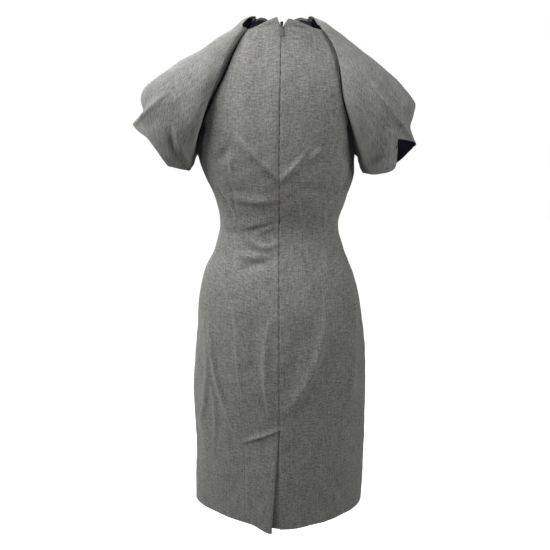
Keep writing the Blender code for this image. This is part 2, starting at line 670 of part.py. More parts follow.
def extruded(name, outline, direction, finish):
    """A closed prism on an outline of points, extruded by a vector."""
    bm = bmesh.new()
    base = bm.faces.new([bm.verts.new(point) for point in outline])
    moved = bmesh.ops.extrude_face_region(bm, geom=[base])
    verts = [item for item in moved["geom"] if isinstance(item, bmesh.types.BMVert)]
    bmesh.ops.translate(bm, verts=verts, vec=direction)
    bmesh.ops.recalc_face_normals(bm, faces=bm.faces[:])
    bmesh.ops.triangulate(bm, faces=bm.faces[:])
    mesh = bpy.data.meshes.new(name)
    bm.to_mesh(mesh)
    bm.free()
    return add_object(name, mesh, finish)


def zip_slider():
    """The slider, a small wedge in the neck notch, with the arch that holds the pull."""
    finish = material("zip_slider_metal", ZIP_GREY, 0.45, 0.6)
    face_y = PIVOT_Y - SLIDER_FRONT
    # height from the pull's axis, half width
    profile = ((-0.0033, 0.0013), (0.0000, 0.0024), (0.0045, 0.0030), (0.0058, 0.0022))
    right = [(ZIP_X - width, face_y, PIVOT_Z + up) for up, width in profile]
    left = [(ZIP_X + width, face_y, PIVOT_Z + up) for up, width in reversed(profile)]
    slider = extruded("zip_slider", right + left, (0.0, -SLIDER_DEPTH, 0.0), finish)
    turns = np.radians(np.linspace(-90.0, 90.0, 9))
    outer_arc = [(math.cos(t) * ARCH_OUTER, math.sin(t) * ARCH_OUTER) for t in turns]
    inner_arc = [(math.cos(t) * ARCH_INNER, math.sin(t) * ARCH_INNER) for t in reversed(turns)]
    foot = -SLIDER_FRONT - 0.0006
    outline = [(foot, -ARCH_OUTER), *outer_arc, (foot, ARCH_OUTER)]
    outline += [(foot, ARCH_INNER), *inner_arc, (foot, -ARCH_INNER)]
    points = [(ZIP_X - ARCH_HALF_WIDTH, PIVOT_Y + y, PIVOT_Z + z) for y, z in outline]
    arch = extruded("zip_arch", points, (2 * ARCH_HALF_WIDTH, 0.0, 0.0), finish)
    arch.hide_render = True
    arch.display_type = "WIRE"
    join = slider.modifiers.new("arch", "BOOLEAN")
    join.operation = "UNION"
    join.object = arch
    return slider


def zip_pull():
    """The teardrop pull tab, hung on the slider's arch and resting down the back."""
    finish = material("zip_pull_metal", ZIP_GREY, 0.4, 0.6)
    # distance below the axis, half width
    profile = (
        (-0.0009, 0.0009),
        (-0.0006, 0.0015),
        (0.0060, 0.0015),
        (0.0100, 0.0022),
        (0.0140, 0.0028),
        (0.0180, 0.0029),
        (0.0203, 0.0022),
        (PULL_LENGTH, 0.0010),
    )
    half = PULL_THICKNESS / 2
    right = [(-width, -half, -down) for down, width in profile]
    left = [(width, -half, -down) for down, width in reversed(profile)]
    pull = extruded("zip_pull", right + left, (0.0, PULL_THICKNESS, 0.0), finish)
    hole_outline = [(-0.0009, -0.002, -0.0008), (0.0009, -0.002, -0.0008)]
    hole_outline += [(0.0009, -0.002, -0.0034), (-0.0009, -0.002, -0.0034)]
    hole = extruded("zip_pull_hole", hole_outline, (0.0, 0.004, 0.0), finish)
    hole.hide_render = True
    hole.display_type = "WIRE"
    hole.parent = pull
    cut = pull.modifiers.new("hole", "BOOLEAN")
    cut.operation = "DIFFERENCE"
    cut.object = hole
    rest_y = surface_y(PIVOT_Z - PULL_LENGTH) + half + 0.0005
    lean = math.atan2(rest_y - PIVOT_Y, PULL_LENGTH)
    pull.location = Vector((ZIP_X, PIVOT_Y, PIVOT_Z))
    pull.rotation_euler = Matrix.Rotation(lean, 3, "X").to_euler()
    return pull


for leftover in list(bpy.data.objects):
    bpy.data.objects.remove(leftover, do_unlink=True)

front_panel()
back_centre_left()
back_centre_right()
back_side_panel("back_side_left", 1)
back_side_panel("back_side_right", -1)
sleeve("sleeve_left", 1, LEFT_RINGS, LEFT_WAVES, LEFT_SLEEVE_FOLDS)
sleeve("sleeve_right", -1, RIGHT_RINGS, RIGHT_WAVES, RIGHT_SLEEVE_FOLDS)
zip_tape()
zip_slider()
zip_pull()
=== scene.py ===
"""Looks of the knee-length wool flannel dress.

Each cloth piece is a thin shell on its solid's form: flannel outside, navy lining inside, with the main
creases, seams and edges in its own mesh. The shells are made from the same tables of sizes as the
solids. Metres, +Z up, the front faces -Y and the wearer's left is +X.
"""

import math

import bmesh
import bpy
import numpy as np
from mathutils import Matrix, Vector


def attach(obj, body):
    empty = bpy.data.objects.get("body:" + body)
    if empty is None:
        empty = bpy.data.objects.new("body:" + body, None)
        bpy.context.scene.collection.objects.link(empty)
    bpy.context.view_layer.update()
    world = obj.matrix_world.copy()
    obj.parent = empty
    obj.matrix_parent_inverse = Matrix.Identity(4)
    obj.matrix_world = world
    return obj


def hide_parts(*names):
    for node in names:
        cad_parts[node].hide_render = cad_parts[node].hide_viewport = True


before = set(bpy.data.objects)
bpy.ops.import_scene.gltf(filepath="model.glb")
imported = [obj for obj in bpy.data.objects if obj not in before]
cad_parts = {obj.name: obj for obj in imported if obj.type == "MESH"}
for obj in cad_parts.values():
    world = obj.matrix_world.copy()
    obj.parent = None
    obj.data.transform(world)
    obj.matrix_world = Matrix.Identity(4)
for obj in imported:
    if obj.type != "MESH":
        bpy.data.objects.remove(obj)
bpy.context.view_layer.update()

SHELL = 0.0015  # thickness of the cloth
CENTRE_SEAM = (0.0020, 0.0014)  # depth and reach of the roll at a panel's edge
PANEL_SEAM = (0.0004, 0.0014)
RAGLAN_SEAM = (0.0004, 0.0010)
OPEN_EDGE = (0.0006, 0.0009)

HEM_Z = -0.958
UNDERARM_Z = -0.213
PRINCESS_TOP_Z = -0.109
NECK_JOINT_Z = 0.018
FRONT_JOINT_Z = 0.046
VENT_TOP_Z = -0.743
VENT_SLIT_Z = VENT_TOP_Z - 0.004

# Body sections: height, left width, right width, back depth, front depth, back left power, back right
# power, front power, lean of the middle.
SECTIONS = (
    (0.050, 0.064, 0.070, 0.050, 0.050, 2, 2, 2, -0.005),
    (0.020, 0.090, 0.096, 0.056, 0.058, 2, 2, 2, -0.005),
    (0.000, 0.110, 0.116, 0.063, 0.068, 2, 2, 2, -0.004),
    (-0.050, 0.158, 0.160, 0.085, 0.090, 2, 2, 2, -0.003),
    (-0.100, 0.182, 0.180, 0.098, 0.106, 2, 2, 2, -0.002),
    (-0.150, 0.178, 0.172, 0.104, 0.120, 2, 2, 2, -0.001),
    (-0.213, 0.160, 0.150, 0.105, 0.133, 2, 2, 2, 0),
    (-0.250, 0.149, 0.149, 0.102, 0.137, 2, 2, 2, 0),
    (-0.300, 0.128, 0.134, 0.091, 0.126, 2, 2, 2, 0),
    (-0.352, 0.119, 0.120, 0.078, 0.106, 2, 2, 2, 0),
    (-0.400, 0.130, 0.131, 0.085, 0.106, 2, 2, 2, 0),
    (-0.450, 0.152, 0.150, 0.104, 0.112, 2, 2, 2, 0),
    (-0.500, 0.163, 0.165, 0.119, 0.116, 1.90, 1.92, 2, 0),
    (-0.570, 0.171, 0.176, 0.128, 0.118, 1.80, 1.84, 2, 0),
    (-0.640, 0.177, 0.180, 0.131, 0.120, 1.70, 1.76, 1.95, 0),
    (-0.750, 0.180, 0.183, 0.132, 0.122, 1.58, 1.68, 1.90, 0),
    (-0.850, 0.179, 0.182, 0.132, 0.123, 1.48, 1.64, 1.85, 0),
    (-0.958, 0.181, 0.180, 0.132, 0.124, 1.40, 1.62, 1.80, 0),
)

# Back raglan seams: height, left and right distance from the middle, left and right width of the slot
# between the seam and the sleeve's standing fold.
BACK_RAGLAN = (
    (0.018, 0.060, 0.075, 0.0070, 0.003),
    (0.002, 0.071, 0.091, 0.0075, 0.003),
    (-0.017, 0.080, 0.102, 0.0080, 0.003),
    (-0.046, 0.092, 0.107, 0.0085, 0.003),
    (-0.071, 0.103, 0.110, 0.0085, 0.003),
    (-0.109, 0.123, 0.116, 0.0075, 0.003),
    (-0.138, 0.137, 0.126, 0.006, 0.003),
    (-0.173, 0.151, 0.138, 0.005, 0.003),
    (-0.213, 0.160, 0.150, 0.003, 0.003),
)

# Front raglan seams, as above.
FRONT_RAGLAN = (
    (0.046, 0.044, 0.056, 0.005, 0.005),
    (0.020, 0.060, 0.069, 0.005, 0.005),
    (-0.005, 0.070, 0.078, 0.005, 0.005),
    (-0.030, 0.080, 0.086, 0.005, 0.005),
    (-0.060, 0.092, 0.095, 0.005, 0.005),
    (-0.100, 0.108, 0.106, 0.005, 0.005),
    (-0.140, 0.125, 0.118, 0.004, 0.004),
    (-0.180, 0.146, 0.136, 0.003, 0.003),
    (-0.213, 0.160, 0.150, 0.003, 0.003),
)

# Back princess seams: height, left and right distance from the middle.
PRINCESS = (
    (-0.109, 0.123, 0.116),
    (-0.165, 0.111, 0.109),
    (-0.200, 0.103, 0.104),
    (-0.271, 0.090, 0.095),
    (-0.344, 0.081, 0.087),
    (-0.393, 0.077, 0.081),
    (-0.450, 0.084, 0.087),
    (-0.500, 0.091, 0.092),
    (-0.562, 0.088, 0.091),
    (-0.663, 0.078, 0.092),
    (-0.780, 0.070, 0.096),
    (-0.958, 0.067, 0.098),
)

# Back neck edge: share of the way from the middle to the raglan seam, left and right height.
BACK_NECK = (
    (0.00, 0.0180, 0.0180),
    (0.05, 0.0268, 0.0255),
    (0.11, 0.0335, 0.0320),
    (0.165, 0.0392, 0.0362),
    (0.20, 0.0398, 0.0368),
    (0.26, 0.0387, 0.0358),
    (0.42, 0.0355, 0.0328),
    (0.52, 0.0332, 0.0300),
    (0.62, 0.0303, 0.0270),
    (0.74, 0.0264, 0.0236),
    (0.86, 0.0224, 0.0206),
    (1.00, 0.0180, 0.0180),
)

# Front neck edge: share of the way from the middle to either raglan seam, height.
FRONT_NECK = ((0.00, 0.030), (0.25, 0.038), (0.50, 0.046), (0.75, 0.049), (1.00, 0.046))

# Creases of the body cloth, in millimetres. Each bends from one point past a second to a third, given
# as distance from the middle and height. side is 1 on the back and -1 on the front. The two half widths
# are for its flanks on the wearer's left and right where it runs down. A negative rise is a trough.
# side, x0, z0, x1, z1, x2, z2, left half width, right half width, rise
BODY_CREASES = (
    (1, 78, -172, 44, -214, 4, -251, 6, 4, 6.2),
    (1, -56, -198, -32, -228, -4, -256, 5, 4, 5.0),
    (1, -82, -199, -68, -209, -52, -221, 6, 4, 3.2),
    (1, 94, -196, 108, -212, 121, -226, 9, 9, -4.0),
    (1, 92, -206, 90, -224, 88, -244, 4, 5, 4.2),
    (1, 90, -280, 70, -277, 50, -276, 6, 6, -1.4),
    (1, 88, -294, 45, -299, 6, -293, 8, 9, 3.6),
    (1, 76, -350, 44, -344, 10, -334, 6, 18, 3.6),
    (1, 112, -358, 94, -361, 80, -367, 5, 6, -2.4),
    (1, 41, -361, 25, -350, 8, -345, 6, 6, 2.8),
    (1, 56, -372, 32, -396, 5, -379, 6, 6, 3.8),
    (1, 76, -388, 55, -394, 40, -393, 4, 4, -1.6),
    (1, 80, -401, 55, -409, 30, -404, 6, 6, 3.6),
    (1, 76, -431, 46, -417, 14, -412, 8, 8, -4.2),
    (1, 103, -354, 72, -380, 44, -395, 6, 6, -1.4),
    (1, 117, -276, 103, -300, 87, -328, 3, 3, -4.6),
    (1, 90, -250, 87, -295, 78, -345, 4, 4, -1.0),
    (1, -26, -252, -38, -290, -43, -370, 3, 4, 3.8),
    (1, -36, -266, -64, -282, -92, -274, 10, 10, -3.0),
    (1, -140, -226, -131, -288, -92, -319, 5, 5, -6.6),
    (1, -132, -232, -121, -284, -88, -309, 3, 4, 3.4),
    (1, -136, -290, -113, -311, -94, -329, 3, 3, -2.6),
    (1, -96, -320, -112, -350, -115, -384, 5, 4, 1.8),
    (1, -88, -304, -85, -337, -90, -380, 3, 4, 2.8),
    (1, -87, -528, -80, -620, -19, -702, 10, 8, 7.8),
    (1, -36, -525, -44, -580, -20, -655, 13, 13, -5.0),
    (1, 18, -525, 38, -592, 18, -712, 5, 8, 5.8),
    (1, 54, -520, 48, -575, 52, -640, 13, 13, -4.8),
    (1, 89, -490, 82, -590, 75, -664, 4, 6, 3.8),
    (1, 138, -540, 131, -672, 84, -762, 6, 3.5, 5.6),
    (1, 147, -573, 136, -650, 164, -772, 5, 5, 4.2),
    (1, 140, -655, 120, -735, 134, -800, 4, 4, 3.4),
    (1, 156, -640, 158, -760, 156, -900, 12, 12, 2.0),
    (1, -90, -480, -90, -530, -87, -570, 4, 5, 2.6),
    (1, -150, -470, -152, -520, -150, -570, 5, 5, 2.8),
    (1, -151, -580, -152, -650, -136, -712, 4, 5, 4.2),
    (1, -148, -560, -152, -680, -142, -820, 12, 12, 2.0),
    (1, 1, -742, 36, -758, 72, -777, 5, 3, 3.0),
    (1, 63, -782, 62, -860, 60, -950, 4, 2, 0.9),
    (1, 34, 20.5, 20, 24.5, 7, 26, 3, 3, -2.0),
    (1, -14, 23.5, -35, 22.5, -55, 16, 3, 3, -2.0),
    (1, 18, -60, 13, -120, 11, -185, 6, 6, 0.8),
    (-1, 95, -300, 60, -328, 30, -345, 10, 13, 4.2),
    (-1, -95, -295, -62, -322, -35, -340, 13, 10, 4.2),
    (-1, 80, -400, 30, -396, -20, -385, 11, 13, 3.8),
    (-1, -70, -420, -40, -408, -10, -404, 10, 10, -2.6),
    (-1, 70, -540, 74, -650, 58, -760, 14, 18, 3.8),
    (-1, -80, -560, -84, -680, -58, -800, 18, 14, 3.8),
    (-1, 10, -560, 4, -660, 12, -780, 16, 16, -2.0),
    (-1, 110, -190, 80, -215, 40, -228, 10, 12, 2.4),
    (-1, -110, -192, -80, -220, -45, -230, 12, 10, 2.4),
)

# Sleeve sections, from the shoulder to the cuff, as closed rings: top x, top height, underarm x,
# underarm height, back depth, front depth, power, back swing outward.
LEFT_RINGS = (
    (0.080, 0.035, 0.164, -0.216, 0.088, 0.088, 2.0, 0.000),
    (0.140, -0.010, 0.166, -0.219, 0.093, 0.092, 2.1, 0.002),
    (0.202, -0.043, 0.168, -0.224, 0.093, 0.092, 2.2, 0.004),
    (0.242, -0.075, 0.170, -0.230, 0.089, 0.089, 2.3, 0.005),
    (0.263, -0.110, 0.172, -0.236, 0.084, 0.084, 2.4, 0.006),
    (0.262, -0.140, 0.174, -0.242, 0.079, 0.079, 2.5, 0.006),
    (0.264, -0.166, 0.177, -0.249, 0.075, 0.074, 2.6, 0.006),
)
RIGHT_RINGS = (
    (0.092, 0.031, 0.154, -0.218, 0.088, 0.088, 2.0, 0.000),
    (0.146, -0.007, 0.156, -0.223, 0.093, 0.092, 2.1, 0.002),
    (0.202, -0.050, 0.157, -0.229, 0.094, 0.092, 2.2, 0.004),
    (0.243, -0.089, 0.159, -0.235, 0.091, 0.089, 2.4, 0.005),
    (0.262, -0.120, 0.160, -0.241, 0.087, 0.084, 2.6, 0.006),
    (0.253, -0.162, 0.162, -0.247, 0.083, 0.079, 2.8, 0.006),
    (0.260, -0.200, 0.165, -0.253, 0.080, 0.070, 3.0, 0.006),
)

# Edges of the cuffs: share round the sleeve from the underarm over the back, distance from the middle,
# depth, height. Each has one outward corner, where the sleeve's long crease meets the edge.
LEFT_CUFF = (
    (0.000, 0.178, 0.000, -0.245),
    (0.070, 0.189, 0.035, -0.240),
    (0.130, 0.202, 0.058, -0.235),
    (0.180, 0.212, 0.070, -0.230),
    (0.240, 0.232, 0.076, -0.201),
    (0.300, 0.250, 0.072, -0.178),
    (0.350, 0.263, 0.062, -0.169),
    (0.405, 0.276, 0.045, -0.156),
    (0.450, 0.273, 0.020, -0.151),
    (0.520, 0.266, -0.020, -0.155),
    (0.620, 0.257, -0.055, -0.176),
    (0.750, 0.230, -0.068, -0.205),
    (0.880, 0.196, -0.045, -0.234),
)
RIGHT_CUFF = (
    (0.000, 0.165, 0.000, -0.251),
    (0.060, 0.177, 0.035, -0.250),
    (0.120, 0.191, 0.060, -0.247),
    (0.170, 0.210, 0.075, -0.241),
    (0.205, 0.219, 0.080, -0.232),
    (0.250, 0.221, 0.082, -0.206),
    (0.300, 0.220, 0.080, -0.182),
    (0.345, 0.229, 0.070, -0.181),
    (0.410, 0.253, 0.045, -0.188),
    (0.450, 0.262, 0.022, -0.194),
    (0.520, 0.262, -0.020, -0.207),
    (0.620, 0.253, -0.055, -0.226),
    (0.750, 0.230, -0.068, -0.243),
    (0.880, 0.194, -0.045, -0.248),
)
CUFF_FROM = (0.55, 0.30)  # where along each sleeve the skin begins to turn towards the cuff's edge

# Creases of the sleeve cloth, as for the body.
LEFT_SLEEVE_CREASES = (
    (1, 200, -90, 236, -128, 280, -158, 12, 28, 5.0),
    (1, 204, -96, 236, -129, 286, -160, 3.5, 5, 4.6),
    (1, 236, -104, 268, -133, 304, -150, 10, 12, -10.0),
    (-1, 236, -104, 268, -133, 304, -150, 12, 10, -10.0),
    (1, 215, -72, 256, -94, 280, -110, 14, 14, 7.0),
    (-1, 215, -72, 256, -94, 280, -110, 14, 14, 7.0),
    (1, 210, -130, 238, -152, 262, -168, 14, 14, -3.0),
    (1, 193, -160, 189, -192, 174, -228, 3, 12, 5.2),
    (1, 202, -168, 199, -196, 186, -230, 10, 4, -4.6),
    (1, 136, -95, 155, -150, 167, -205, 24, 5, 5.0),
    (-1, 262, -160, 225, -135, 190, -110, 14, 24, 6.0),
    (-1, 180, -130, 185, -180, 180, -220, 12, 14, -3.0),
)
RIGHT_SLEEVE_CREASES = (
    (1, -160, -62, -196, -122, -256, -187, 30, 10, 7.0),
    (1, -168, -84, -204, -133, -262, -195, 4.5, 3.5, 7.2),
    (1, -200, -92, -236, -130, -266, -170, 12, 12, -5.0),
    (1, -186, -135, -200, -175, -196, -225, 12, 16, -5.0),
    (1, -218, -160, -214, -195, -216, -232, 12, 8, 3.4),
    (1, -130, -40, -146, -90, -160, -140, 14, 14, 1.6),
    (-1, -250, -190, -220, -150, -180, -110, 24, 14, 6.0),
    (-1, -175, -130, -182, -180, -178, -225, 14, 12, -3.0),
)

# The sleeves' neck edges: share of the way round, distance from the middle, depth, height.
LEFT_NECK = (
    (0.14, 0.0665, 0.047, 0.0215),
    (0.26, 0.0680, 0.040, 0.0270),
    (0.42, 0.0640, 0.026, 0.0360),
    (0.62, 0.0550, 0.008, 0.0450),
    (0.78, 0.0460, -0.012, 0.0480),
)
RIGHT_NECK = ((0.22, 0.072, 0.034, 0.030), (0.50, 0.065, 0.010, 0.0445), (0.75, 0.058, -0.014, 0.048))

SLEEVES = {
    1: (LEFT_RINGS, LEFT_CUFF, LEFT_NECK, LEFT_SLEEVE_CREASES),
    -1: (RIGHT_RINGS, RIGHT_CUFF, RIGHT_NECK, RIGHT_SLEEVE_CREASES),
}


def hermite(place, values, at):
    """Values at these places on a smooth curve through rows of values."""
    slopes = np.gradient(values, place, axis=0)
    at = np.clip(np.asarray(at, dtype=float), place[0], place[-1])
    k = np.clip(np.searchsorted(place, at) - 1, 0, len(place) - 2)
    shape = at.shape + (1,) * (values.ndim - 1)
    span = (place[k + 1] - place[k]).reshape(shape)
    t = (at - place[k]).reshape(shape) / span
    start = (1 + 2 * t) * (1 - t) ** 2 * values[k] + t * (1 - t) ** 2 * span * slopes[k]
    end = t * t * (3 - 2 * t) * values[k + 1] + t * t * (t - 1) * span * slopes[k + 1]
    return start + end


def curve(rows):
    """A smooth function through a table's rows, whose first column is the place."""
    table = np.array(sorted(rows), dtype=float)
    return lambda at: hermite(table[:, 0], table[:, 1:], at)


def smooth(t):
    """0 to 1 with level ends."""
    t = np.clip(t, 0.0, 1.0)
    return t * t * (3 - 2 * t)


def lerp(a, b, t):
    return a + (b - a) * t


def unit(vectors):
    return vectors / np.maximum(np.linalg.norm(vectors, axis=-1, keepdims=True), 1e-12)


section = curve(SECTIONS)
back_raglan = curve(BACK_RAGLAN)
front_raglan = curve(FRONT_RAGLAN)
princess = curve(PRINCESS)

CREASE_PARTS = 10  # straight parts that stand for each crease's bend
CREASE_END = 0.30  # share of a crease's rise that is left at its two ends
FACING_DEPTH = 0.04  # depth over which the creases of the back give way to those of the front


def crease_height(creases, points):
    """How far the creases raise the cloth at these points."""
    height = np.zeros(points.shape[:-1])
    flat = points[..., (0, 2)]
    for side, *sizes in creases:
        start, middle, end = np.reshape(sizes[:6], (3, 2)) / 1000
        left_width, right_width, rise = np.array(sizes[6:]) / 1000
        t = np.linspace(0.0, 1.0, CREASE_PARTS + 1)[:, None]
        path = start * (1 - t) ** 2 + 2 * middle * t * (1 - t) + end * t * t
        nearest = np.full(height.shape, np.inf)
        share = np.zeros(height.shape)
        turn = np.zeros(height.shape)
        for part, (a, b) in enumerate(zip(path[:-1], path[1:])):
            run = b - a
            offset = flat - a
            along = np.clip(offset @ run / (run @ run), 0.0, 1.0)
            gap = offset - along[..., None] * run
            away = np.linalg.norm(gap, axis=-1)
            closer = away < nearest
            nearest = np.where(closer, away, nearest)
            share = np.where(closer, (part + along) / CREASE_PARTS, share)
            turn = np.where(closer, run[0] * gap[..., 1] - run[1] * gap[..., 0], turn)
        width = np.where(turn > 0, left_width, right_width)
        taper = CREASE_END + (1 - CREASE_END) * np.sin(np.pi * share)
        facing = smooth(0.5 + side * points[..., 1] / FACING_DEPTH)
        height += rise * taper * facing * np.exp(-((nearest / width) ** 2))
    return height


WAVE_SEED = 11
WAVES = ((0.110, 0.00050), (0.071, 0.00034), (0.046, 0.00022), (0.029, 0.00014))  # wavelength, rise
WAVES_OF_EACH = 3
WAVE_LEAN = (1.0, 1.0, 0.6)  # fewer waves run one above another than side by side


def uneven(points, amount=1.0):
    """Slight unevenness of hanging cloth, from a few crossing waves."""
    chance = np.random.default_rng(WAVE_SEED)
    height = np.zeros(points.shape[:-1])
    for wavelength, rise in WAVES:
        for _ in range(WAVES_OF_EACH):
            direction = unit(chance.normal(size=3) * WAVE_LEAN)
            phase = chance.uniform(0.0, 2 * np.pi)
            height += rise * np.sin(points @ direction * 2 * np.pi / wavelength + phase)
    return height * amount


def plain_body(z, angle):
    """Body surface without folds. Angles in degrees: 0 centre back, 90 left side, -90 right side."""
    z, angle = np.broadcast_arrays(np.asarray(z, dtype=float), np.asarray(angle, dtype=float))
    angle = (angle + 180) % 360 - 180
    left, right, back, front, left_power, right_power, front_power, lean = np.moveaxis(section(z), -1, 0)
    turn = np.radians(np.abs(angle))
    behind = np.cos(turn) >= 0
    power = np.where(behind, np.where(angle >= 0, left_power, right_power), front_power)
    depth = np.where(behind, back, -front)
    across = np.abs(np.sin(turn)) ** (2 / power)
    deep = np.abs(np.cos(turn)) ** (2 / power)
    x = np.where(angle >= 0, left, -right) * across + lean * deep * behind
    return np.stack((x, depth * deep, z), axis=-1)


ANGLE_STEP, HEIGHT_STEP = 0.6, 0.001  # degrees and metres between the points that give a normal


def body_normals(z, angle):
    """Outward normals of the body surface without folds."""
    around = plain_body(z, angle + ANGLE_STEP) - plain_body(z, angle - ANGLE_STEP)
    up = plain_body(z + HEIGHT_STEP, angle) - plain_body(z - HEIGHT_STEP, angle)
    return unit(np.cross(up, around))


def body(z, angle):
    """Body surface with its creases."""
    points = plain_body(z, angle)
    rise = crease_height(BODY_CREASES, points) + uneven(points)
    return points + body_normals(z, angle) * rise[..., None]


def angle_at(x, z, front=False):
    """Angle from centre back of the point of the back or front this far to either side."""
    left, right, _, _, left_power, right_power, front_power, _ = np.moveaxis(section(z), -1, 0)
    on_left = np.asarray(x) >= 0
    share = np.clip(np.abs(x) / np.where(on_left, left, right), 0.0, 1.0)
    power = front_power if front else np.where(on_left, left_power, right_power)
    turn = np.degrees(np.arcsin(share ** (power / 2)))
    return np.sign(x) * (180 - turn if front else turn)


def levels(*stretches):
    """Heights with the given number of steps in each stretch, as (from, to, steps)."""
    heights = [stretches[0][0]]
    for low, high, steps in stretches:
        heights.extend(np.linspace(low, high, steps + 1)[1:])
    return np.array(heights)


EDGE_PLACES = (0.0004, 0.0009, 0.0015, 0.0023, 0.0034)  # distances of the close columns from an edge
EDGE_SPARE = 1.3  # how much further in than the last of them the even columns begin


def shares_with_edges(steps, width):
    """Even shares across a panel of this width, with closer ones beside both edges for the seams."""
    near = np.array(EDGE_PLACES) / width
    inner = np.linspace(0.0, 1.0, steps + 1)[1:-1]
    inner = inner[(inner > near[-1] * EDGE_SPARE) & (inner < 1 - near[-1] * EDGE_SPARE)]
    return np.concatenate(((0.0,), near, inner, 1 - near[::-1], (1.0,)))


def sheet_normals(points, wrap=False):
    """Normals of a grid, pointing away from the middle of the form."""
    if wrap:
        around = np.roll(points, -1, axis=1) - np.roll(points, 1, axis=1)
        centre = points.mean(axis=1, keepdims=True)
    else:
        around = np.gradient(points, axis=1)
        centre = points * (0.0, 0.0, 1.0)
    normals = unit(np.cross(around, np.gradient(points, axis=0)))
    outward = np.sum(normals * (points - centre))
    return normals if outward > 0 else -normals


def from_edge(points, axis, last):
    """Distance of each point from the first or last row or column of its grid."""
    steps = np.linalg.norm(np.diff(points, axis=axis), axis=-1)
    zero = np.zeros_like(np.take(steps, [0], axis=axis))
    if last:
        steps = np.flip(steps, axis=axis)
    gone = np.cumsum(np.concatenate((zero, steps), axis=axis), axis=axis)
    return np.flip(gone, axis=axis) if last else gone


PUCKER = 0.25  # share by which a rolled edge's depth varies along it
PUCKER_WAVES = (190.0, 110.0, 430.0)  # radians a metre along each axis


def rolled(points, edges, wrap=False):
    """The grid with its edges rolled in.

    edges holds (axis, last, depth, reach) for each edge of the grid that needs it.
    """
    normals = sheet_normals(points, wrap)
    moved = points.copy()
    for axis, last, depth, reach in edges:
        away = from_edge(points, axis, last)
        pucker = 1 + PUCKER * np.sin(points @ np.array(PUCKER_WAVES))
        moved -= normals * (depth * pucker * np.exp(-((away / reach) ** 2)))[..., None]
    return moved


def cloth_places(points, column):
    """Each point's place in the flat cloth: across from one column, and along from the first row."""
    across = from_edge(points, 1, False)
    across = across - across[:, column : column + 1]
    return np.stack((across, from_edge(points, 0, False), np.zeros_like(across)), axis=-1)


SHARP_ANGLE = math.radians(60)


def shell(
    name, outer, column, wrap=False, keep=None, faced=None, navy=None, thickness=SHELL, finishes=None
):
    """A thin closed shell on a grid of outer points.

    column is the grid column that the cloth's own places are counted from. keep picks the cells that
    are built and faced the cells whose inside is flannel. navy is how much painted navy shade is mixed
    into the outside's colour at each point, from 0 to 1. finishes holds the outside's and the inside's.
    """
    rows, columns = outer.shape[:2]
    normals = sheet_normals(outer, wrap)
    count = rows * columns
    index = np.arange(count).reshape(rows, columns)
    right = np.roll(index, -1, axis=1)
    if not wrap:
        index, right = index[:, :-1], right[:, :-1]
    quads = np.stack((index[:-1], right[:-1], right[1:], index[1:]), axis=-1)
    none = np.zeros(quads.shape[:2], dtype=bool)
    keep = ~none if keep is None else keep
    faced = none if faced is None else faced
    navy = np.zeros((rows, columns)) if navy is None else np.broadcast_to(navy, (rows, columns))
    cells = quads[keep]
    points = outer.reshape(-1, 3)
    way = np.cross(points[cells[:, 2]] - points[cells[:, 0]], points[cells[:, 3]] - points[cells[:, 1]])
    if np.sum(way * normals.reshape(-1, 3)[cells[:, 0]]) < 0:
        cells = cells[:, ::-1]
    starts = cells.ravel()
    ends = np.roll(cells, -1, axis=1).ravel()
    free = ~np.isin(ends * count + starts, starts * count + ends)
    rim = np.stack((ends, starts, starts + count, ends + count), axis=-1)[free]
    faces = np.concatenate((cells, cells[:, ::-1] + count, rim))
    inside = (~faced[keep]).astype(int)
    finish = np.concatenate((np.zeros_like(inside), inside, np.zeros(len(rim), dtype=int)))
    used, faces = np.unique(faces, return_inverse=True)
    both = np.concatenate((points, (outer - normals * thickness).reshape(-1, 3)))
    mesh = bpy.data.meshes.new(name)
    mesh.from_pydata(both[used].tolist(), [], faces.reshape(-1, 4).tolist())
    places = np.tile(cloth_places(outer, column).reshape(-1, 3), (2, 1))[used]
    mesh.attributes.new("cloth", "FLOAT_VECTOR", "POINT").data.foreach_set("vector", places.ravel())
    # The navy attribute holds painted shade: how far the outside's colour turns dark navy.
    shown = np.tile(navy.ravel(), 2)[used]
    mesh.attributes.new("navy", "FLOAT", "POINT").data.foreach_set("value", shown)
    for one in finishes or (flannel, lining):
        mesh.materials.append(one)
    mesh.polygons.foreach_set("material_index", finish)
    mesh.shade_smooth()
    mesh.set_sharp_from_angle(angle=SHARP_ANGLE)
    return placed(name, mesh)


def placed(name, data):
    """A new object of the scene with this mesh, light or camera."""
    piece = bpy.data.objects.new(name, data)
    bpy.context.scene.collection.objects.link(piece)
    return piece


def node_tree(name):
    """A new material, with its nodes, its links and its shader."""
    made = bpy.data.materials.new(name)
    made.use_nodes = True
    return made, made.node_tree.nodes, made.node_tree.links, made.node_tree.nodes["Principled BSDF"]


def set_inputs(node, values):
    for name, value in values.items():
        node.inputs[name].default_value = value


def attribute(nodes, name):
    """Node that reads an attribute of the mesh."""
    read = nodes.new("ShaderNodeAttribute")
    read.attribute_name = name
    return read


def stretched_noise(nodes, links, source, scale, stretch, detail=2.0):
    """Noise on coordinates that are scaled by stretch, for streaks."""
    mapping = nodes.new("ShaderNodeMapping")
    mapping.inputs["Scale"].default_value = stretch
    links.new(source, mapping.inputs["Vector"])
    noise = nodes.new("ShaderNodeTexNoise")
    set_inputs(noise, {"Scale": scale, "Detail": detail, "Roughness": 0.5})
    links.new(mapping.outputs["Vector"], noise.inputs["Vector"])
    return noise.outputs["Fac"]


def toned(nodes, links, source, dark, light):
    """Colour between a dark and a light one by a socket's value."""
    ramp = nodes.new("ShaderNodeValToRGB")
    ramp.color_ramp.elements[0].color = (*dark, 1.0)
    ramp.color_ramp.elements[1].color = (*light, 1.0)
    links.new(source, ramp.inputs["Fac"])
    return ramp.outputs["Color"]


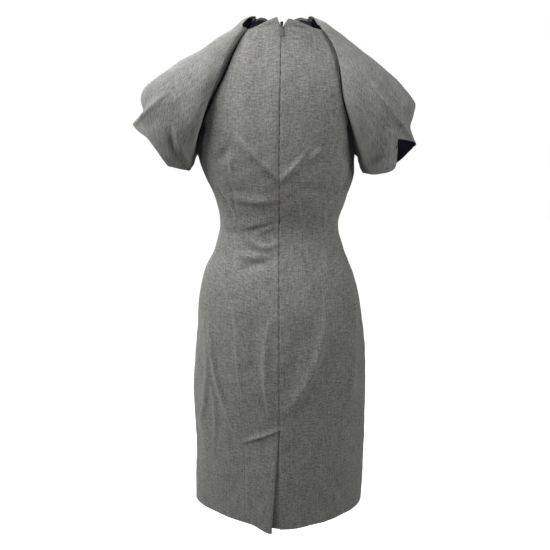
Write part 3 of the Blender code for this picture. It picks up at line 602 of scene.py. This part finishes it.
def bumped(nodes, links, source, shader, strength, distance):
    """Gives the shader a relief by a socket's value."""
    bump = nodes.new("ShaderNodeBump")
    set_inputs(bump, {"Strength": strength, "Distance": distance})
    links.new(source, bump.inputs["Height"])
    links.new(bump.outputs["Normal"], shader.inputs["Normal"])


def weighted(nodes, links, parts):
    """Sum of sockets, each less its middle value 0.5 and times its weight."""
    total = None
    for socket, weight in parts:
        part = nodes.new("ShaderNodeMath")
        part.operation = "MULTIPLY_ADD"
        part.inputs[1].default_value = weight
        part.inputs[2].default_value = -0.5 * weight
        links.new(socket, part.inputs[0])
        if total is None:
            total = part.outputs[0]
            continue
        both = nodes.new("ShaderNodeMath")
        both.operation = "ADD"
        links.new(total, both.inputs[0])
        links.new(part.outputs[0], both.inputs[1])
        total = both.outputs[0]
    return total


# The flannel's speckle, fibres, weft, warp and soft patches: weight, scale, stretch, detail
GRAIN = (
    (0.8, 260.0, (0.8, 1.0, 1.0), 1.0),
    (1.4, 900.0, (0.5, 1.0, 1.0), 2.0),
    (0.8, 340.0, (0.22, 1.0, 1.0), 1.0),
    (0.6, 380.0, (1.0, 0.08, 1.0), 1.0),
    (0.3, 28.0, (1.0, 0.6, 1.0), 2.0),
)


def flannel_material():
    """Brushed grey wool: a melange of light and dark fibres over a faint weave, with a soft nap."""
    made, nodes, links, shader = node_tree("flannel")
    source = attribute(nodes, "cloth").outputs["Vector"]
    parts = [(stretched_noise(nodes, links, source, *noise), weight) for weight, *noise in GRAIN]
    middle = nodes.new("ShaderNodeMath")
    middle.operation = "ADD"
    middle.inputs[1].default_value = 0.5
    middle.use_clamp = True
    links.new(weighted(nodes, links, parts), middle.inputs[0])
    tone = middle.outputs[0]
    # Painted shade: by the mesh's navy attribute the colour turns dark navy in the sleeves' slots and the
    # underarm recesses.
    mix = nodes.new("ShaderNodeMix")
    mix.data_type = "RGBA"
    mix.inputs["B"].default_value = (0.012, 0.015, 0.026, 1.0)
    links.new(attribute(nodes, "navy").outputs["Fac"], mix.inputs["Factor"])
    grey = toned(nodes, links, tone, (0.055, 0.055, 0.050), (0.220, 0.218, 0.202))
    links.new(grey, mix.inputs["A"])
    links.new(mix.outputs["Result"], shader.inputs["Base Color"])
    bumped(nodes, links, tone, shader, 0.35, 0.0005)
    sheen = {"Sheen Weight": 0.22, "Sheen Roughness": 0.55, "Sheen Tint": (0.80, 0.80, 0.77, 1.0)}
    set_inputs(shader, {"Roughness": 0.95, "Specular IOR Level": 0.12, **sheen})
    return made


def lining_material():
    """Dark navy satin lining with a fine rib."""
    made, nodes, links, shader = node_tree("lining")
    source = attribute(nodes, "cloth").outputs["Vector"]
    rib = stretched_noise(nodes, links, source, 900.0, (1.0, 0.05, 1.0))
    navy = toned(nodes, links, rib, (0.006, 0.008, 0.014), (0.022, 0.028, 0.042))
    links.new(navy, shader.inputs["Base Color"])
    bumped(nodes, links, rib, shader, 0.25, 0.0002)
    set_inputs(shader, {"Roughness": 0.42, "Specular IOR Level": 0.4})
    return made


flannel = flannel_material()
lining = lining_material()

WARP_FROM_Z = -0.300
VENT_STEPS = ((HEM_Z, -0.800, 56), (-0.800, VENT_SLIT_Z, 34), (VENT_SLIT_Z, VENT_TOP_Z, 3))
SKIRT_STEPS = ((VENT_TOP_Z, -0.470, 116), (-0.470, WARP_FROM_Z, 84))
WAIST_STEPS = ((WARP_FROM_Z, -0.160, 74), (-0.160, PRINCESS_TOP_Z, 24))
BACK_ROWS = levels(*VENT_STEPS, *SKIRT_STEPS, *WAIST_STEPS)
FRONT_ROWS = levels((HEM_Z, -0.470, 120), (-0.470, WARP_FROM_Z, 44), (WARP_FROM_Z, UNDERARM_Z, 24))
CENTRE_COLUMNS = shares_with_edges(44, 0.085)
SIDE_COLUMNS = shares_with_edges(48, 0.120)
FRONT_COLUMNS = shares_with_edges(120, 0.45) * 2 - 1
UPPER_SEAM_STEPS = 62
NECK_STEPS = 36
FRONT_SEAM_STEPS = 64
HEM_FACING = 0.035
NECK_FACING = 0.006


def raglan_angle(side, z, front=False):
    """Angle of the raglan seam at these heights."""
    seam = front_raglan if front else back_raglan
    return angle_at(side * seam(z)[..., 0 if side > 0 else 1], z, front)


SEAM_READINGS = 200  # points along a stretch of seam by which its length is measured


def raglan_rows(side, low, high, shares, front=False):
    """Heights at these shares of the length of a stretch of a raglan seam."""
    z = np.linspace(low, high, SEAM_READINGS)
    points = plain_body(z, raglan_angle(side, z, front))
    gone = np.concatenate(((0.0,), np.cumsum(np.linalg.norm(np.diff(points, axis=0), axis=1))))
    return np.interp(np.asarray(shares) * gone[-1], gone, z)


def even(steps):
    return np.linspace(0.0, 1.0, steps + 1)


def cell_mean(values):
    """Mean of each cell's corners."""
    return (values[:-1, :-1] + values[1:, :-1] + values[1:, 1:] + values[:-1, 1:]) / 4


def facing_cells(points, top=True):
    """Cells whose inside is turned flannel: the hem, and the neck edge where the grid reaches it."""
    near_hem = points[..., 2] - HEM_Z < HEM_FACING
    near_neck = (from_edge(points, 0, True) < NECK_FACING) & top
    return cell_mean((near_hem | near_neck) * 1.0) > 0.5


def panel_edges(first=PANEL_SEAM, top=OPEN_EDGE):
    """Rolled edges of a panel: its first column, its last, the hem and the top."""
    return ((1, False, *first), (1, True, *PANEL_SEAM), (0, False, *OPEN_EDGE), (0, True, *top))


def front_panel():
    """The front, one piece from side seam to side seam."""
    columns = FRONT_COLUMNS
    z_rows = [np.full(columns.shape, z) for z in FRONT_ROWS]
    angle_rows = [180 - columns * 90 for _ in FRONT_ROWS]
    neck = curve(FRONT_NECK)(np.abs(columns))[:, 0]
    left_rows = raglan_rows(1, UNDERARM_Z, FRONT_JOINT_Z, even(FRONT_SEAM_STEPS), front=True)
    right_rows = raglan_rows(-1, UNDERARM_Z, FRONT_JOINT_Z, even(FRONT_SEAM_STEPS), front=True)
    for left_z, right_z in zip(left_rows[1:], right_rows[1:]):
        edge_z = np.where(columns >= 0, left_z, right_z)
        row_z = lerp((left_z + right_z) / 2, edge_z, np.abs(columns))
        share = (row_z - UNDERARM_Z) / (FRONT_JOINT_Z - UNDERARM_Z)
        half_left = 180 - raglan_angle(1, left_z, front=True)
        half_right = 180 + raglan_angle(-1, right_z, front=True)
        z_rows.append(lerp(UNDERARM_Z, neck, share))
        angle_rows.append(180 - columns * np.where(columns >= 0, half_left, half_right))
    points = body(np.array(z_rows), np.array(angle_rows))
    outer = rolled(points, panel_edges())
    return shell("front_cloth", outer, len(columns) // 2, faced=facing_cells(points))


def back_centre_grid(side):
    """Heights and angles of a back centre panel, columns from centre back out."""
    which = 0 if side > 0 else 1
    neck = curve(BACK_NECK)(CENTRE_COLUMNS)[:, which]
    edge = angle_at(side * princess(BACK_ROWS)[:, which], BACK_ROWS)
    z_rows = [np.full(CENTRE_COLUMNS.shape, z) for z in BACK_ROWS]
    angle_rows = [angle * CENTRE_COLUMNS for angle in edge]
    for edge_z in raglan_rows(side, PRINCESS_TOP_Z, NECK_JOINT_Z, even(UPPER_SEAM_STEPS))[1:]:
        share = (edge_z - PRINCESS_TOP_Z) / (NECK_JOINT_Z - PRINCESS_TOP_Z)
        z_rows.append(lerp(PRINCESS_TOP_Z, neck, share))
        angle_rows.append(raglan_angle(side, edge_z) * CENTRE_COLUMNS)
    return np.array(z_rows), np.array(angle_rows)


CENTRE_EDGES = panel_edges(first=CENTRE_SEAM)
FLAP_SWING = 0.014  # sideways, at the hem
FLAP_INWARD = 0.35  # share of the swing by which the flap also goes inwards
FLAP_LIFT = 0.0075
FLAP_WIDTH = 0.060
FLAP_TIP_DROP = 0.008
TUCK = 0.0031  # how far the underlap lies below the body's form
TUCK_FROM_X = 0.0032
UNDERLAP = 0.050
UNDERLAP_START = 0.0006
UNDERLAP_COLUMNS = 18
UNDERLAP_SLOPE = 0.45  # fall of its top edge
SAME_HEIGHT = 1e-6


def below_vent(z):
    """0 at the vent's top to 1 at the hem."""
    return np.clip((VENT_TOP_Z - z) / (VENT_TOP_Z - HEM_Z), 0.0, 1.0)


def back_centre_left():
    """The left back centre panel, whose edge below the vent's top is the free overlapping flap."""
    z, angle = back_centre_grid(1)
    points = body(z, angle)
    normals = sheet_normals(points)
    share = below_vent(z)
    near_edge = np.clip(1 - points[..., 0] / FLAP_WIDTH, 0.0, 1.0)
    swing = FLAP_SWING * share * smooth(near_edge)
    lift = FLAP_LIFT * share * smooth(near_edge)
    points = points + normals * lift[..., None]
    points[..., 0] += swing
    points[..., 1] -= FLAP_INWARD * swing
    points[0, :, 2] -= FLAP_TIP_DROP * smooth(near_edge[0])
    return shell("back_centre_left_cloth", rolled(points, CENTRE_EDGES), 0, faced=facing_cells(points))


def back_centre_right():
    """The right back centre panel with the vent's underlap, which passes behind the flap."""
    z, angle = back_centre_grid(-1)
    points = body(z, angle)
    main = rolled(points, CENTRE_EDGES)
    vent_rows = int(np.sum(z[:, 0] < VENT_TOP_Z - SAME_HEIGHT))
    reach = np.linspace(UNDERLAP_START, UNDERLAP, UNDERLAP_COLUMNS)
    top = VENT_SLIT_Z - UNDERLAP_SLOPE * reach
    share = np.clip((VENT_SLIT_Z - z[:, :1]) / (VENT_SLIT_Z - HEM_Z), 0.0, 1.0)
    lap_z = lerp(top, HEM_Z, share)
    lap_angle = angle_at(np.broadcast_to(reach, lap_z.shape), lap_z)
    lap = body(lap_z, lap_angle) - body_normals(lap_z, lap_angle) * TUCK
    near = 1 - np.clip(-points[:vent_rows, :, 0] / (2 * TUCK_FROM_X), 0.0, 1.0)
    main[:vent_rows] = points[:vent_rows]
    main[:vent_rows, :, 0] -= TUCK_FROM_X * near
    grid = np.concatenate((main[:, ::-1], lap), axis=1)
    last_main = points.shape[1] - 1
    rows, columns = grid.shape[0] - 1, grid.shape[1] - 1
    row, column = np.mgrid[0:rows, 0:columns]
    keep = (column < last_main) | (row < vent_rows - 1)
    return shell("back_centre_right_cloth", grid, last_main, keep=keep, faced=facing_cells(grid))


UNDERARM_SHADE_FROM_Z = -0.140  # below this, navy shade is painted beside the raglan seam, down to the underarm, in the dark recess under the sleeve where the lining is glimpsed
UNDERARM_SHADE_REACH = (0.012, 0.036)  # how far the painted shade reaches from the seam: at the princess seam, at the side
UNDERARM_SHADE_FADE_Z = 0.012
UNDERARM_SHADE_STEEPNESS = 2.5


def back_side_panel(name, side):
    """A back side panel, from its princess seam to the side seam and up to the raglan seam."""
    which = 0 if side > 0 else 1
    top = raglan_rows(side, UNDERARM_Z, PRINCESS_TOP_Z, 1 - SIDE_COLUMNS)
    start = angle_at(side * princess(top)[:, which], top)
    share_out = (raglan_angle(side, top) - start) / (side * 90 - start)
    z_rows = [np.full(share_out.shape, z) for z in BACK_ROWS if z <= WARP_FROM_Z]
    for z in BACK_ROWS:
        if z > WARP_FROM_Z:
            z_rows.append(lerp(WARP_FROM_Z, top, (z - WARP_FROM_Z) / (PRINCESS_TOP_Z - WARP_FROM_Z)))
    z = np.array(z_rows)
    seam_angle = angle_at(side * princess(z)[..., which], z)
    angle = lerp(seam_angle, side * 90.0, share_out)
    points = body(z, angle)
    outer = rolled(points, panel_edges(top=RAGLAN_SEAM))
    # Painted shade: the outside's colour turns dark navy near the raglan seam below the sleeve, where the
    # recess lies in shade.
    reach = lerp(*UNDERARM_SHADE_REACH, SIDE_COLUMNS)
    low = smooth((UNDERARM_SHADE_FROM_Z - top) / UNDERARM_SHADE_FADE_Z)
    navy = smooth(UNDERARM_SHADE_STEEPNESS * (1 - from_edge(points, 0, True) / reach)) * low
    return shell(name, outer, 0, faced=facing_cells(points, top=False), navy=navy)


# Shares round the sleeve go from 0 at the underarm over the back, to 1 at the underarm again.
BACK_SHARE, FRONT_SHARE = 0.40, 0.60  # where the neck edge begins and ends
BACK_ENDS_AT, BACK_FADE = 0.52, 0.10  # where the fold has its lower front height, and the way there
UNDERARM_FADE = 0.12  # share on either side of the underarm over which it grows from that height
SLOT_ROWS = 12  # rows from the seam to the standing fold
SKIN_ROWS = 76  # rows from the standing fold to the cuff
CUFF_ROWS = 13  # those of them that lie close together at the cuff
CUFF_ROWS_FROM = 0.7  # how many readings before the cuff they begin
ALONG = 13  # readings of the sleeve's form along it
UNDER_CREST = 0.55  # where the skin passes on its way from the fold to the sleeve's form
FOLD_STAND = (1.2, 0.5)  # height of each sleeve's fold as a share of its slot
FRONT_STAND = 0.4  # share of that height on the front
STAND_FALLS_FROM = 0.26  # share round the sleeve from which the fold grows lower towards the neck
STAND_AT_NECK = 0.25
SLOT_AT_NECK = 0.35
CREST_SPARE = 0.0005
SLOT_SHADE = 0.8  # how dark the painted navy shade on the slot's wall is
SHADE_GROWS, SHADE_ENDS = (3, 5), (10.0, 11.5)  # rows of the slot between which the painted shade comes and goes
UNDERARM_SHADE_ROWS = 3  # rows before the fold over which the underarm's painted navy shade ends
SLOT_DEPTH = 0.008
SLOT_SHELF = 0.35  # share of the slot beside the body that dips only a little
SLOT_FLOOR = 0.84  # share of the slot where it is deepest
SHELF_DIP = 0.0008
PLAIN_UNDER = 0.06  # share on either side of the underarm where the slot turns to plain cloth
PLAIN_PLACES = (0.20, 0.45, 0.75)  # how far its shelf, floor and crest are on the way to the form
SLEEVE_UNEVEN = 1.3
CALM_ROWS = 6  # rows over which the creases grow from the standing fold on
CUFF_LINE = 0.006  # distance of the pressed line from the cuff's edge
CUFF_LINE_WIDTH = 0.0009
CUFF_LINE_DEPTH = 0.0003
UNDERARM_SHADE_SHARE = 0.22  # share round the sleeve, from the underarm, up to which navy shade is painted in the slot, where the recess is dark and the lining is glimpsed
UNDERARM_SHADE_FADE = 0.06
CAD_LOWER_STEPS, CAD_UPPER_STEPS = 7, 9  # the solid's steps along the back seam, below its joint and above


def armhole(side):
    """The sleeve's seam: shares round it, points, normals, ways off the body, slots, and neck columns.

    The neck columns stand between the seam's two ends, and their places come later.
    """
    which = 0 if side > 0 else 1
    lower = raglan_rows(side, UNDERARM_Z, PRINCESS_TOP_Z, SIDE_COLUMNS)
    upper = raglan_rows(side, PRINCESS_TOP_Z, NECK_JOINT_Z, even(UPPER_SEAM_STEPS))
    back_z = np.concatenate((lower, upper[1:]))
    front_z = raglan_rows(side, UNDERARM_Z, FRONT_JOINT_Z, even(FRONT_SEAM_STEPS), front=True)[::-1]
    back_angle = raglan_angle(side, back_z)
    front_angle = raglan_angle(side, front_z, front=True)
    back, front = body(back_z, back_angle), body(front_z, front_angle)
    neck_share = even(NECK_STEPS)[1:-1]
    between = neck_share[:, None]
    back_normals = body_normals(back_z, back_angle)
    front_normals = body_normals(front_z, front_angle)
    neck_normals = lerp(back_normals[-1], front_normals[0], between)
    back_slot, front_slot = back_raglan(back_z)[:, 2 + which], front_raglan(front_z)[:, 2 + which]
    joint = CAD_LOWER_STEPS / (CAD_LOWER_STEPS + CAD_UPPER_STEPS)
    back_share = np.concatenate((SIDE_COLUMNS * joint, lerp(joint, 1.0, even(UPPER_SEAM_STEPS))[1:]))
    share = np.concatenate(
        (
            back_share * BACK_SHARE,
            lerp(BACK_SHARE, FRONT_SHARE, neck_share),
            lerp(FRONT_SHARE, 1.0, even(FRONT_SEAM_STEPS))[:-1],
        )
    )
    points = np.concatenate((back, lerp(back[-1], front[0], between), front[:-1]))
    normals = np.concatenate((back_normals, unit(neck_normals), front_normals[:-1]))
    slots = np.concatenate((back_slot, lerp(back_slot[-1], front_slot[0], neck_share), front_slot[:-1]))
    neck = slice(len(back), len(back) + len(neck_share))
    run = unit(np.roll(points, -1, axis=0) - np.roll(points, 1, axis=0))
    run[neck.start - 1] = unit(back[-1] - back[-2])
    run[neck.stop] = unit(front[1] - front[0])
    away = unit(np.cross(normals, run)) * side
    return share, points, normals, away, slots, neck


def ring_points(side, rings, share, along):
    """Points of the sleeve at these shares round it and along it, from the table of its rings."""
    places = np.linspace(0.0, 1.0, len(rings))
    read = curve([(place, *row) for place, row in zip(places, rings)])
    top_x, top_z, under_x, under_z, back, front, power, swing = np.moveaxis(read(along), -1, 0)
    turn = 2 * np.pi * share
    down, out = np.cos(turn), np.sin(turn)
    long = -np.sign(down) * np.abs(down) ** (2 / power)
    deep = np.sign(out) * np.abs(out) ** (2 / power)
    middle = np.stack(((top_x + under_x) / 2, np.zeros_like(top_x), (top_z + under_z) / 2), axis=-1)
    half = np.stack(((top_x - under_x) / 2, np.zeros_like(top_x), (top_z - under_z) / 2), axis=-1)
    wide = unit(half)
    reach = np.stack((wide[..., 2], np.zeros_like(top_x), -wide[..., 0]), axis=-1)
    points = middle + half * long[..., None] + reach * (swing * out * out)[..., None]
    points[..., 1] += np.where(deep >= 0, back, front) * deep
    points[..., 0] *= side
    return points


def cuff_edge(side, cuff, share):
    """Points of the cuff's edge at these shares round the sleeve."""
    before = [(place - 1, *rest) for place, *rest in cuff[-3:]]
    after = [(place + 1, *rest) for place, *rest in cuff[:3]]
    return curve((*before, *cuff, *after))(share) * (side, 1.0, 1.0)


def sleeve(name, side):
    """A raglan sleeve: seam, the slot beside it, the crisp standing fold, then the skin to the cuff."""
    which = 0 if side > 0 else 1
    rings, cuff, neck_edge, creases = SLEEVES[side]
    share, seam, seam_normals, away, slots, neck = armhole(side)
    from_under = np.minimum(share, 1 - share)[:, None]
    on_back = smooth((BACK_ENDS_AT - share) / BACK_FADE)[:, None] * smooth(from_under / UNDERARM_FADE)
    slot = slots[:, None]
    shelf = seam + away * SLOT_SHELF * slot - seam_normals * SHELF_DIP * on_back
    floor = seam + away * SLOT_FLOOR * slot - seam_normals * SLOT_DEPTH * on_back
    to_neck = smooth((share - STAND_FALLS_FROM) / (BACK_SHARE - STAND_FALLS_FROM))[:, None]
    stand = FOLD_STAND[which] * lerp(FRONT_STAND, 1.0, on_back) * lerp(1.0, STAND_AT_NECK, to_neck)
    reach = slot * lerp(1.0, SLOT_AT_NECK, to_neck) + CREST_SPARE
    crest = seam + away * reach + seam_normals * stand * slot
    under = ring_points(side, rings, share, np.zeros_like(share))
    plain = 1 - smooth(from_under / PLAIN_UNDER)
    across = [seam]
    for line, place in zip((shelf, floor, crest), PLAIN_PLACES):
        across.append(lerp(line, lerp(seam, under, place), plain))
    across = np.array(across)
    crest = across[-1]
    edge = [(place, side * x, y, z) for place, x, y, z in neck_edge]
    neck_line = curve(((0.0, *crest[neck.start - 1]), *edge, (1.0, *crest[neck.stop])))
    across[:, neck] = neck_line((share[neck] - BACK_SHARE) / (FRONT_SHARE - BACK_SHARE))
    slot_rows = hermite(np.arange(4.0), across, np.linspace(0.0, 3.0, SLOT_ROWS))
    rows = [crest, lerp(crest, under, UNDER_CREST)]
    to_edge = cuff_edge(side, cuff, share) - ring_points(side, rings, share, np.ones_like(share))
    for at in np.linspace(0.0, 1.0, ALONG)[1:]:
        turned = smooth((at - CUFF_FROM[which]) / (1 - CUFF_FROM[which]))
        rows.append(ring_points(side, rings, share, np.full_like(share, at)) + to_edge * turned)
    last = len(rows) - 1
    close = last - CUFF_ROWS_FROM
    upper_places = np.linspace(0.0, close, SKIN_ROWS - CUFF_ROWS)
    places = np.concatenate((upper_places, np.linspace(close, last, CUFF_ROWS + 1)[1:]))
    skin = hermite(np.arange(last + 1.0), np.array(rows), places)
    rise = crease_height(creases, skin) + uneven(skin, SLEEVE_UNEVEN)
    rise *= smooth(np.arange(SKIN_ROWS) / CALM_ROWS)[:, None]
    from_line = from_edge(skin, 0, True) - CUFF_LINE
    rise -= CUFF_LINE_DEPTH * np.exp(-((from_line / CUFF_LINE_WIDTH) ** 2))
    skin = skin + sheet_normals(skin, wrap=True) * rise[..., None]
    outer = np.concatenate((slot_rows[:-1], skin))
    outer = rolled(outer, ((0, True, *OPEN_EDGE),), wrap=True)
    row, column = np.mgrid[0 : len(outer), 0 : len(share)]
    at_neck = (column >= neck.start - 1) & (column < neck.stop)
    keep = ~(at_neck & (row < SLOT_ROWS - 1))[:-1]
    faced = ((from_edge(outer, 0, False) < NECK_FACING) & at_neck)[:-1]
    # Painted shade: dark navy in the slot near the underarm, where the recess lies in shade and the lining
    # is glimpsed.
    low = smooth((UNDERARM_SHADE_SHARE - share) / UNDERARM_SHADE_FADE)
    low += smooth((share - 1 + UNDERARM_SHADE_FADE) / UNDERARM_SHADE_FADE)
    # Painted shade: the slot's wall along the back, shaded by the standing fold, is coloured dark navy.
    grown = smooth((row - SHADE_GROWS[0]) / (SHADE_GROWS[1] - SHADE_GROWS[0]))
    left = smooth((SHADE_ENDS[1] - row) / (SHADE_ENDS[1] - SHADE_ENDS[0]))
    deep = SLOT_SHADE * on_back[:, 0] * grown * left
    navy = np.maximum(low * smooth((SLOT_ROWS - row) / UNDERARM_SHADE_ROWS), deep)
    middle = int(np.argmin(np.abs(share - 0.5)))
    return shell(name, outer, middle, wrap=True, keep=keep, faced=faced, navy=navy)


WEAVE = (1500.0, (1.0, 1.0, 0.3))
SCRATCHES = (900.0, (1.0, 1.0, 0.15), 4.0)


def zip_material(name, noise, dark, light, metallic, roughness):
    """Woven navy tape, or satin enamelled metal with faint scratches."""
    made, nodes, links, shader = node_tree(name)
    source = nodes.new("ShaderNodeTexCoord").outputs["Object"]
    grain = stretched_noise(nodes, links, source, *noise)
    links.new(toned(nodes, links, grain, dark, light), shader.inputs["Base Color"])
    set_inputs(shader, {"Metallic": metallic, "Roughness": roughness})
    return made


TAPE_LOW_Z, TAPE_HIGH_Z = -0.498, 0.0235
TAPE_HALF_WIDTH = 0.011
TAPE_THICKNESS = 0.0006
TAPE_GAP = 0.0005
TAPE_ROWS, TAPE_COLUMNS = 175, 13
TOOTH_PITCH = 0.0013
TOOTH_SIZE = (0.0026, 0.0010, 0.0007)
TOOTH_SLANT = 0.35  # radians, each tooth against the next
TOOTH_SIDE = 0.0007  # how far each tooth stands to its own side
TOOTH_DEPTH = 0.0007  # distance of its middle from the tape
TOOTH_ROUND = 0.0002
COIL_START = 0.002  # distance of the first tooth from the tape's lower end
TEETH_LEFT_OUT = 4  # that would stand past the tape's ends


def zip_tape(finish):
    """The invisible zip's closed tape behind the centre back seam, following the panels' creases."""
    z = np.linspace(TAPE_LOW_Z, TAPE_HIGH_Z, TAPE_ROWS)[:, None]
    x = np.linspace(-TAPE_HALF_WIDTH, TAPE_HALF_WIDTH, TAPE_COLUMNS)
    z, x = np.broadcast_arrays(z, x)
    angle = angle_at(x, z)
    points = body(z, angle) - body_normals(z, angle) * (SHELL + TAPE_GAP)
    middle = TAPE_COLUMNS // 2
    return shell("zip_tape_woven", points, middle, thickness=TAPE_THICKNESS, finishes=(finish, finish))


def zip_coil(finish):
    """The zip's interlocked coil, a row of slanting teeth on the tape's inner side."""
    bm = bmesh.new()
    count = int((TAPE_HIGH_Z - TAPE_LOW_Z) / TOOTH_PITCH)
    heights = TAPE_LOW_Z + COIL_START + TOOTH_PITCH * np.arange(count - TEETH_LEFT_OUT)
    inward = body_normals(heights, 0.0) * (SHELL + TAPE_GAP + TAPE_THICKNESS + TOOTH_DEPTH)
    for place, middle in enumerate(body(heights, 0.0) - inward):
        side = 1 if place % 2 else -1
        tooth = bmesh.ops.create_cube(bm, size=1.0)["verts"]
        bmesh.ops.scale(bm, vec=TOOTH_SIZE, verts=tooth)
        bmesh.ops.rotate(bm, verts=tooth, matrix=Matrix.Rotation(side * TOOTH_SLANT, 3, "Y"))
        bmesh.ops.translate(bm, vec=Vector(middle) + Vector((side * TOOTH_SIDE, 0.0, 0.0)), verts=tooth)
    mesh = bpy.data.meshes.new("zip_coil")
    bm.to_mesh(mesh)
    bm.free()
    mesh.materials.append(finish)
    piece = placed("zip_coil", mesh)
    bevel = piece.modifiers.new("round", "BEVEL")
    bevel.width = TOOTH_ROUND
    bevel.segments = 1
    return piece


# piece, node it stands for, width and length of the rectangle it is cut from, flat area
CUTS = (
    (front_panel(), "front", (0.56, 1.02), 0.395),
    (back_centre_left(), "back_centre_left", (0.15, 1.02), 0.091),
    (back_centre_right(), "back_centre_right", (0.17, 1.02), 0.114),
    (back_side_panel("back_side_left_cloth", 1), "back_side_left", (0.16, 0.86), 0.106),
    (back_side_panel("back_side_right_cloth", -1), "back_side_right", (0.16, 0.86), 0.097),
    (sleeve("sleeve_left_cloth", 1), "sleeve_left", (0.58, 0.26), 0.107),
    (sleeve("sleeve_right_cloth", -1), "sleeve_right", (0.58, 0.26), 0.111),
)
for piece, node, flat, area in CUTS:
    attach(piece, "dress")
    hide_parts(node)

woven = zip_material("zip_tape_weave", WEAVE, (0.007, 0.010, 0.016), (0.028, 0.034, 0.050), 0.0, 0.8)
tape = zip_tape(woven)
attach(tape, "dress")
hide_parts("zip_tape")
coil = zip_coil(woven)
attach(coil, "dress")

METALS = (
    ("zip_slider", "slider_metal", SCRATCHES, (0.02, 0.02, 0.025), (0.05, 0.05, 0.055), 0.7, 0.45),
    ("zip_pull", "pull_metal", SCRATCHES, (0.10, 0.10, 0.10), (0.17, 0.17, 0.165), 0.7, 0.5),
)
for node, *finish in METALS:
    metal = zip_material(*finish)
    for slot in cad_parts[node].material_slots:
        slot.material = metal

FLOOR_Z = HEM_Z - 0.30
FLOOR_HALF = 6.0
FLOOR_BOUNCE = 0.02  # how strongly the floor's own glow lights the dress
WORLD_LIGHT = 0.03
# name, place, height it is aimed at, size, power
LIGHTS = (
    ("key", (0.9, 0.6, 0.7), -0.20, 0.6, 26.0),
    ("high", (1.6, 0.2, 1.2), -0.30, 0.8, 37.0),
    ("right", (-1.4, 1.0, 0.6), -0.50, 0.8, 30.0),
    ("low", (1.4, 1.0, -0.6), -0.50, 0.8, 2.0),
    ("front", (0.5, -1.9, 0.9), -0.40, 1.2, 60.0),
)


WHITE = (1.0, 1.0, 1.0, 1.0)


def aimed(direction):
    """Turn of a light or camera that looks this way."""
    return direction.to_track_quat("-Z", "Y").to_euler()


def lit_for_camera(nodes, links, socket, light):
    """White where it is seen directly, and a light of this strength for everything else."""
    sight = nodes.new("ShaderNodeLightPath")
    strength = nodes.new("ShaderNodeMapRange")
    strength.inputs["To Min"].default_value = light
    strength.inputs["To Max"].default_value = 1.0
    links.new(sight.outputs["Is Camera Ray"], strength.inputs["Value"])
    links.new(strength.outputs["Result"], socket)


def studio():
    """A pale floor, a white surround and soft lights, the main ones from the upper left."""
    mesh = bpy.data.meshes.new("floor")
    corners = [(x * FLOOR_HALF, y * FLOOR_HALF, FLOOR_Z) for x, y in ((-1, -1), (1, -1), (1, 1), (-1, 1))]
    mesh.from_pydata(corners, [], [(0, 1, 2, 3)])
    floor = placed("floor", mesh)
    made, nodes, links, shader = node_tree("floor_white")
    set_inputs(shader, {"Base Color": (0.35, 0.35, 0.35, 1.0), "Roughness": 0.9, "Emission Color": WHITE})
    lit_for_camera(nodes, links, shader.inputs["Emission Strength"], FLOOR_BOUNCE)
    mesh.materials.append(made)
    for name, place, aim_z, size, power in LIGHTS:
        light = bpy.data.lights.new(name, "AREA")
        light.shape = "DISK"
        light.size = size
        light.energy = power
        lamp = placed(name, light)
        lamp.location = place
        lamp.rotation_euler = aimed(Vector((0.0, 0.0, aim_z)) - Vector(place))
    world = bpy.data.worlds.new("studio_white")
    bpy.context.scene.world = world
    world.use_nodes = True
    nodes, links = world.node_tree.nodes, world.node_tree.links
    nodes["Background"].inputs["Color"].default_value = WHITE
    lit_for_camera(nodes, links, nodes["Background"].inputs["Strength"], WORLD_LIGHT)


CAMERA_PLACE = (0.0, 1.5, -0.12)
CAMERA_TILT = math.radians(12.7)
SENSOR = 36.0
PICTURE, FOCAL, SHIFT = 550.0, 750.0, -4.0  # width of the picture, focal length and shift in its pixels


def look():
    """The photograph's view: slightly from above, straight onto the back."""
    lens = bpy.data.cameras.new("view")
    lens.sensor_width = SENSOR
    lens.lens = SENSOR * FOCAL / PICTURE
    lens.shift_x = SHIFT / PICTURE
    camera = placed("view", lens)
    camera.location = CAMERA_PLACE
    camera.rotation_euler = aimed(Vector((0.0, -math.cos(CAMERA_TILT), -math.sin(CAMERA_TILT))))
    bpy.context.scene.camera = camera


studio()
look()
bpy.context.scene.view_settings.view_transform = "Standard"
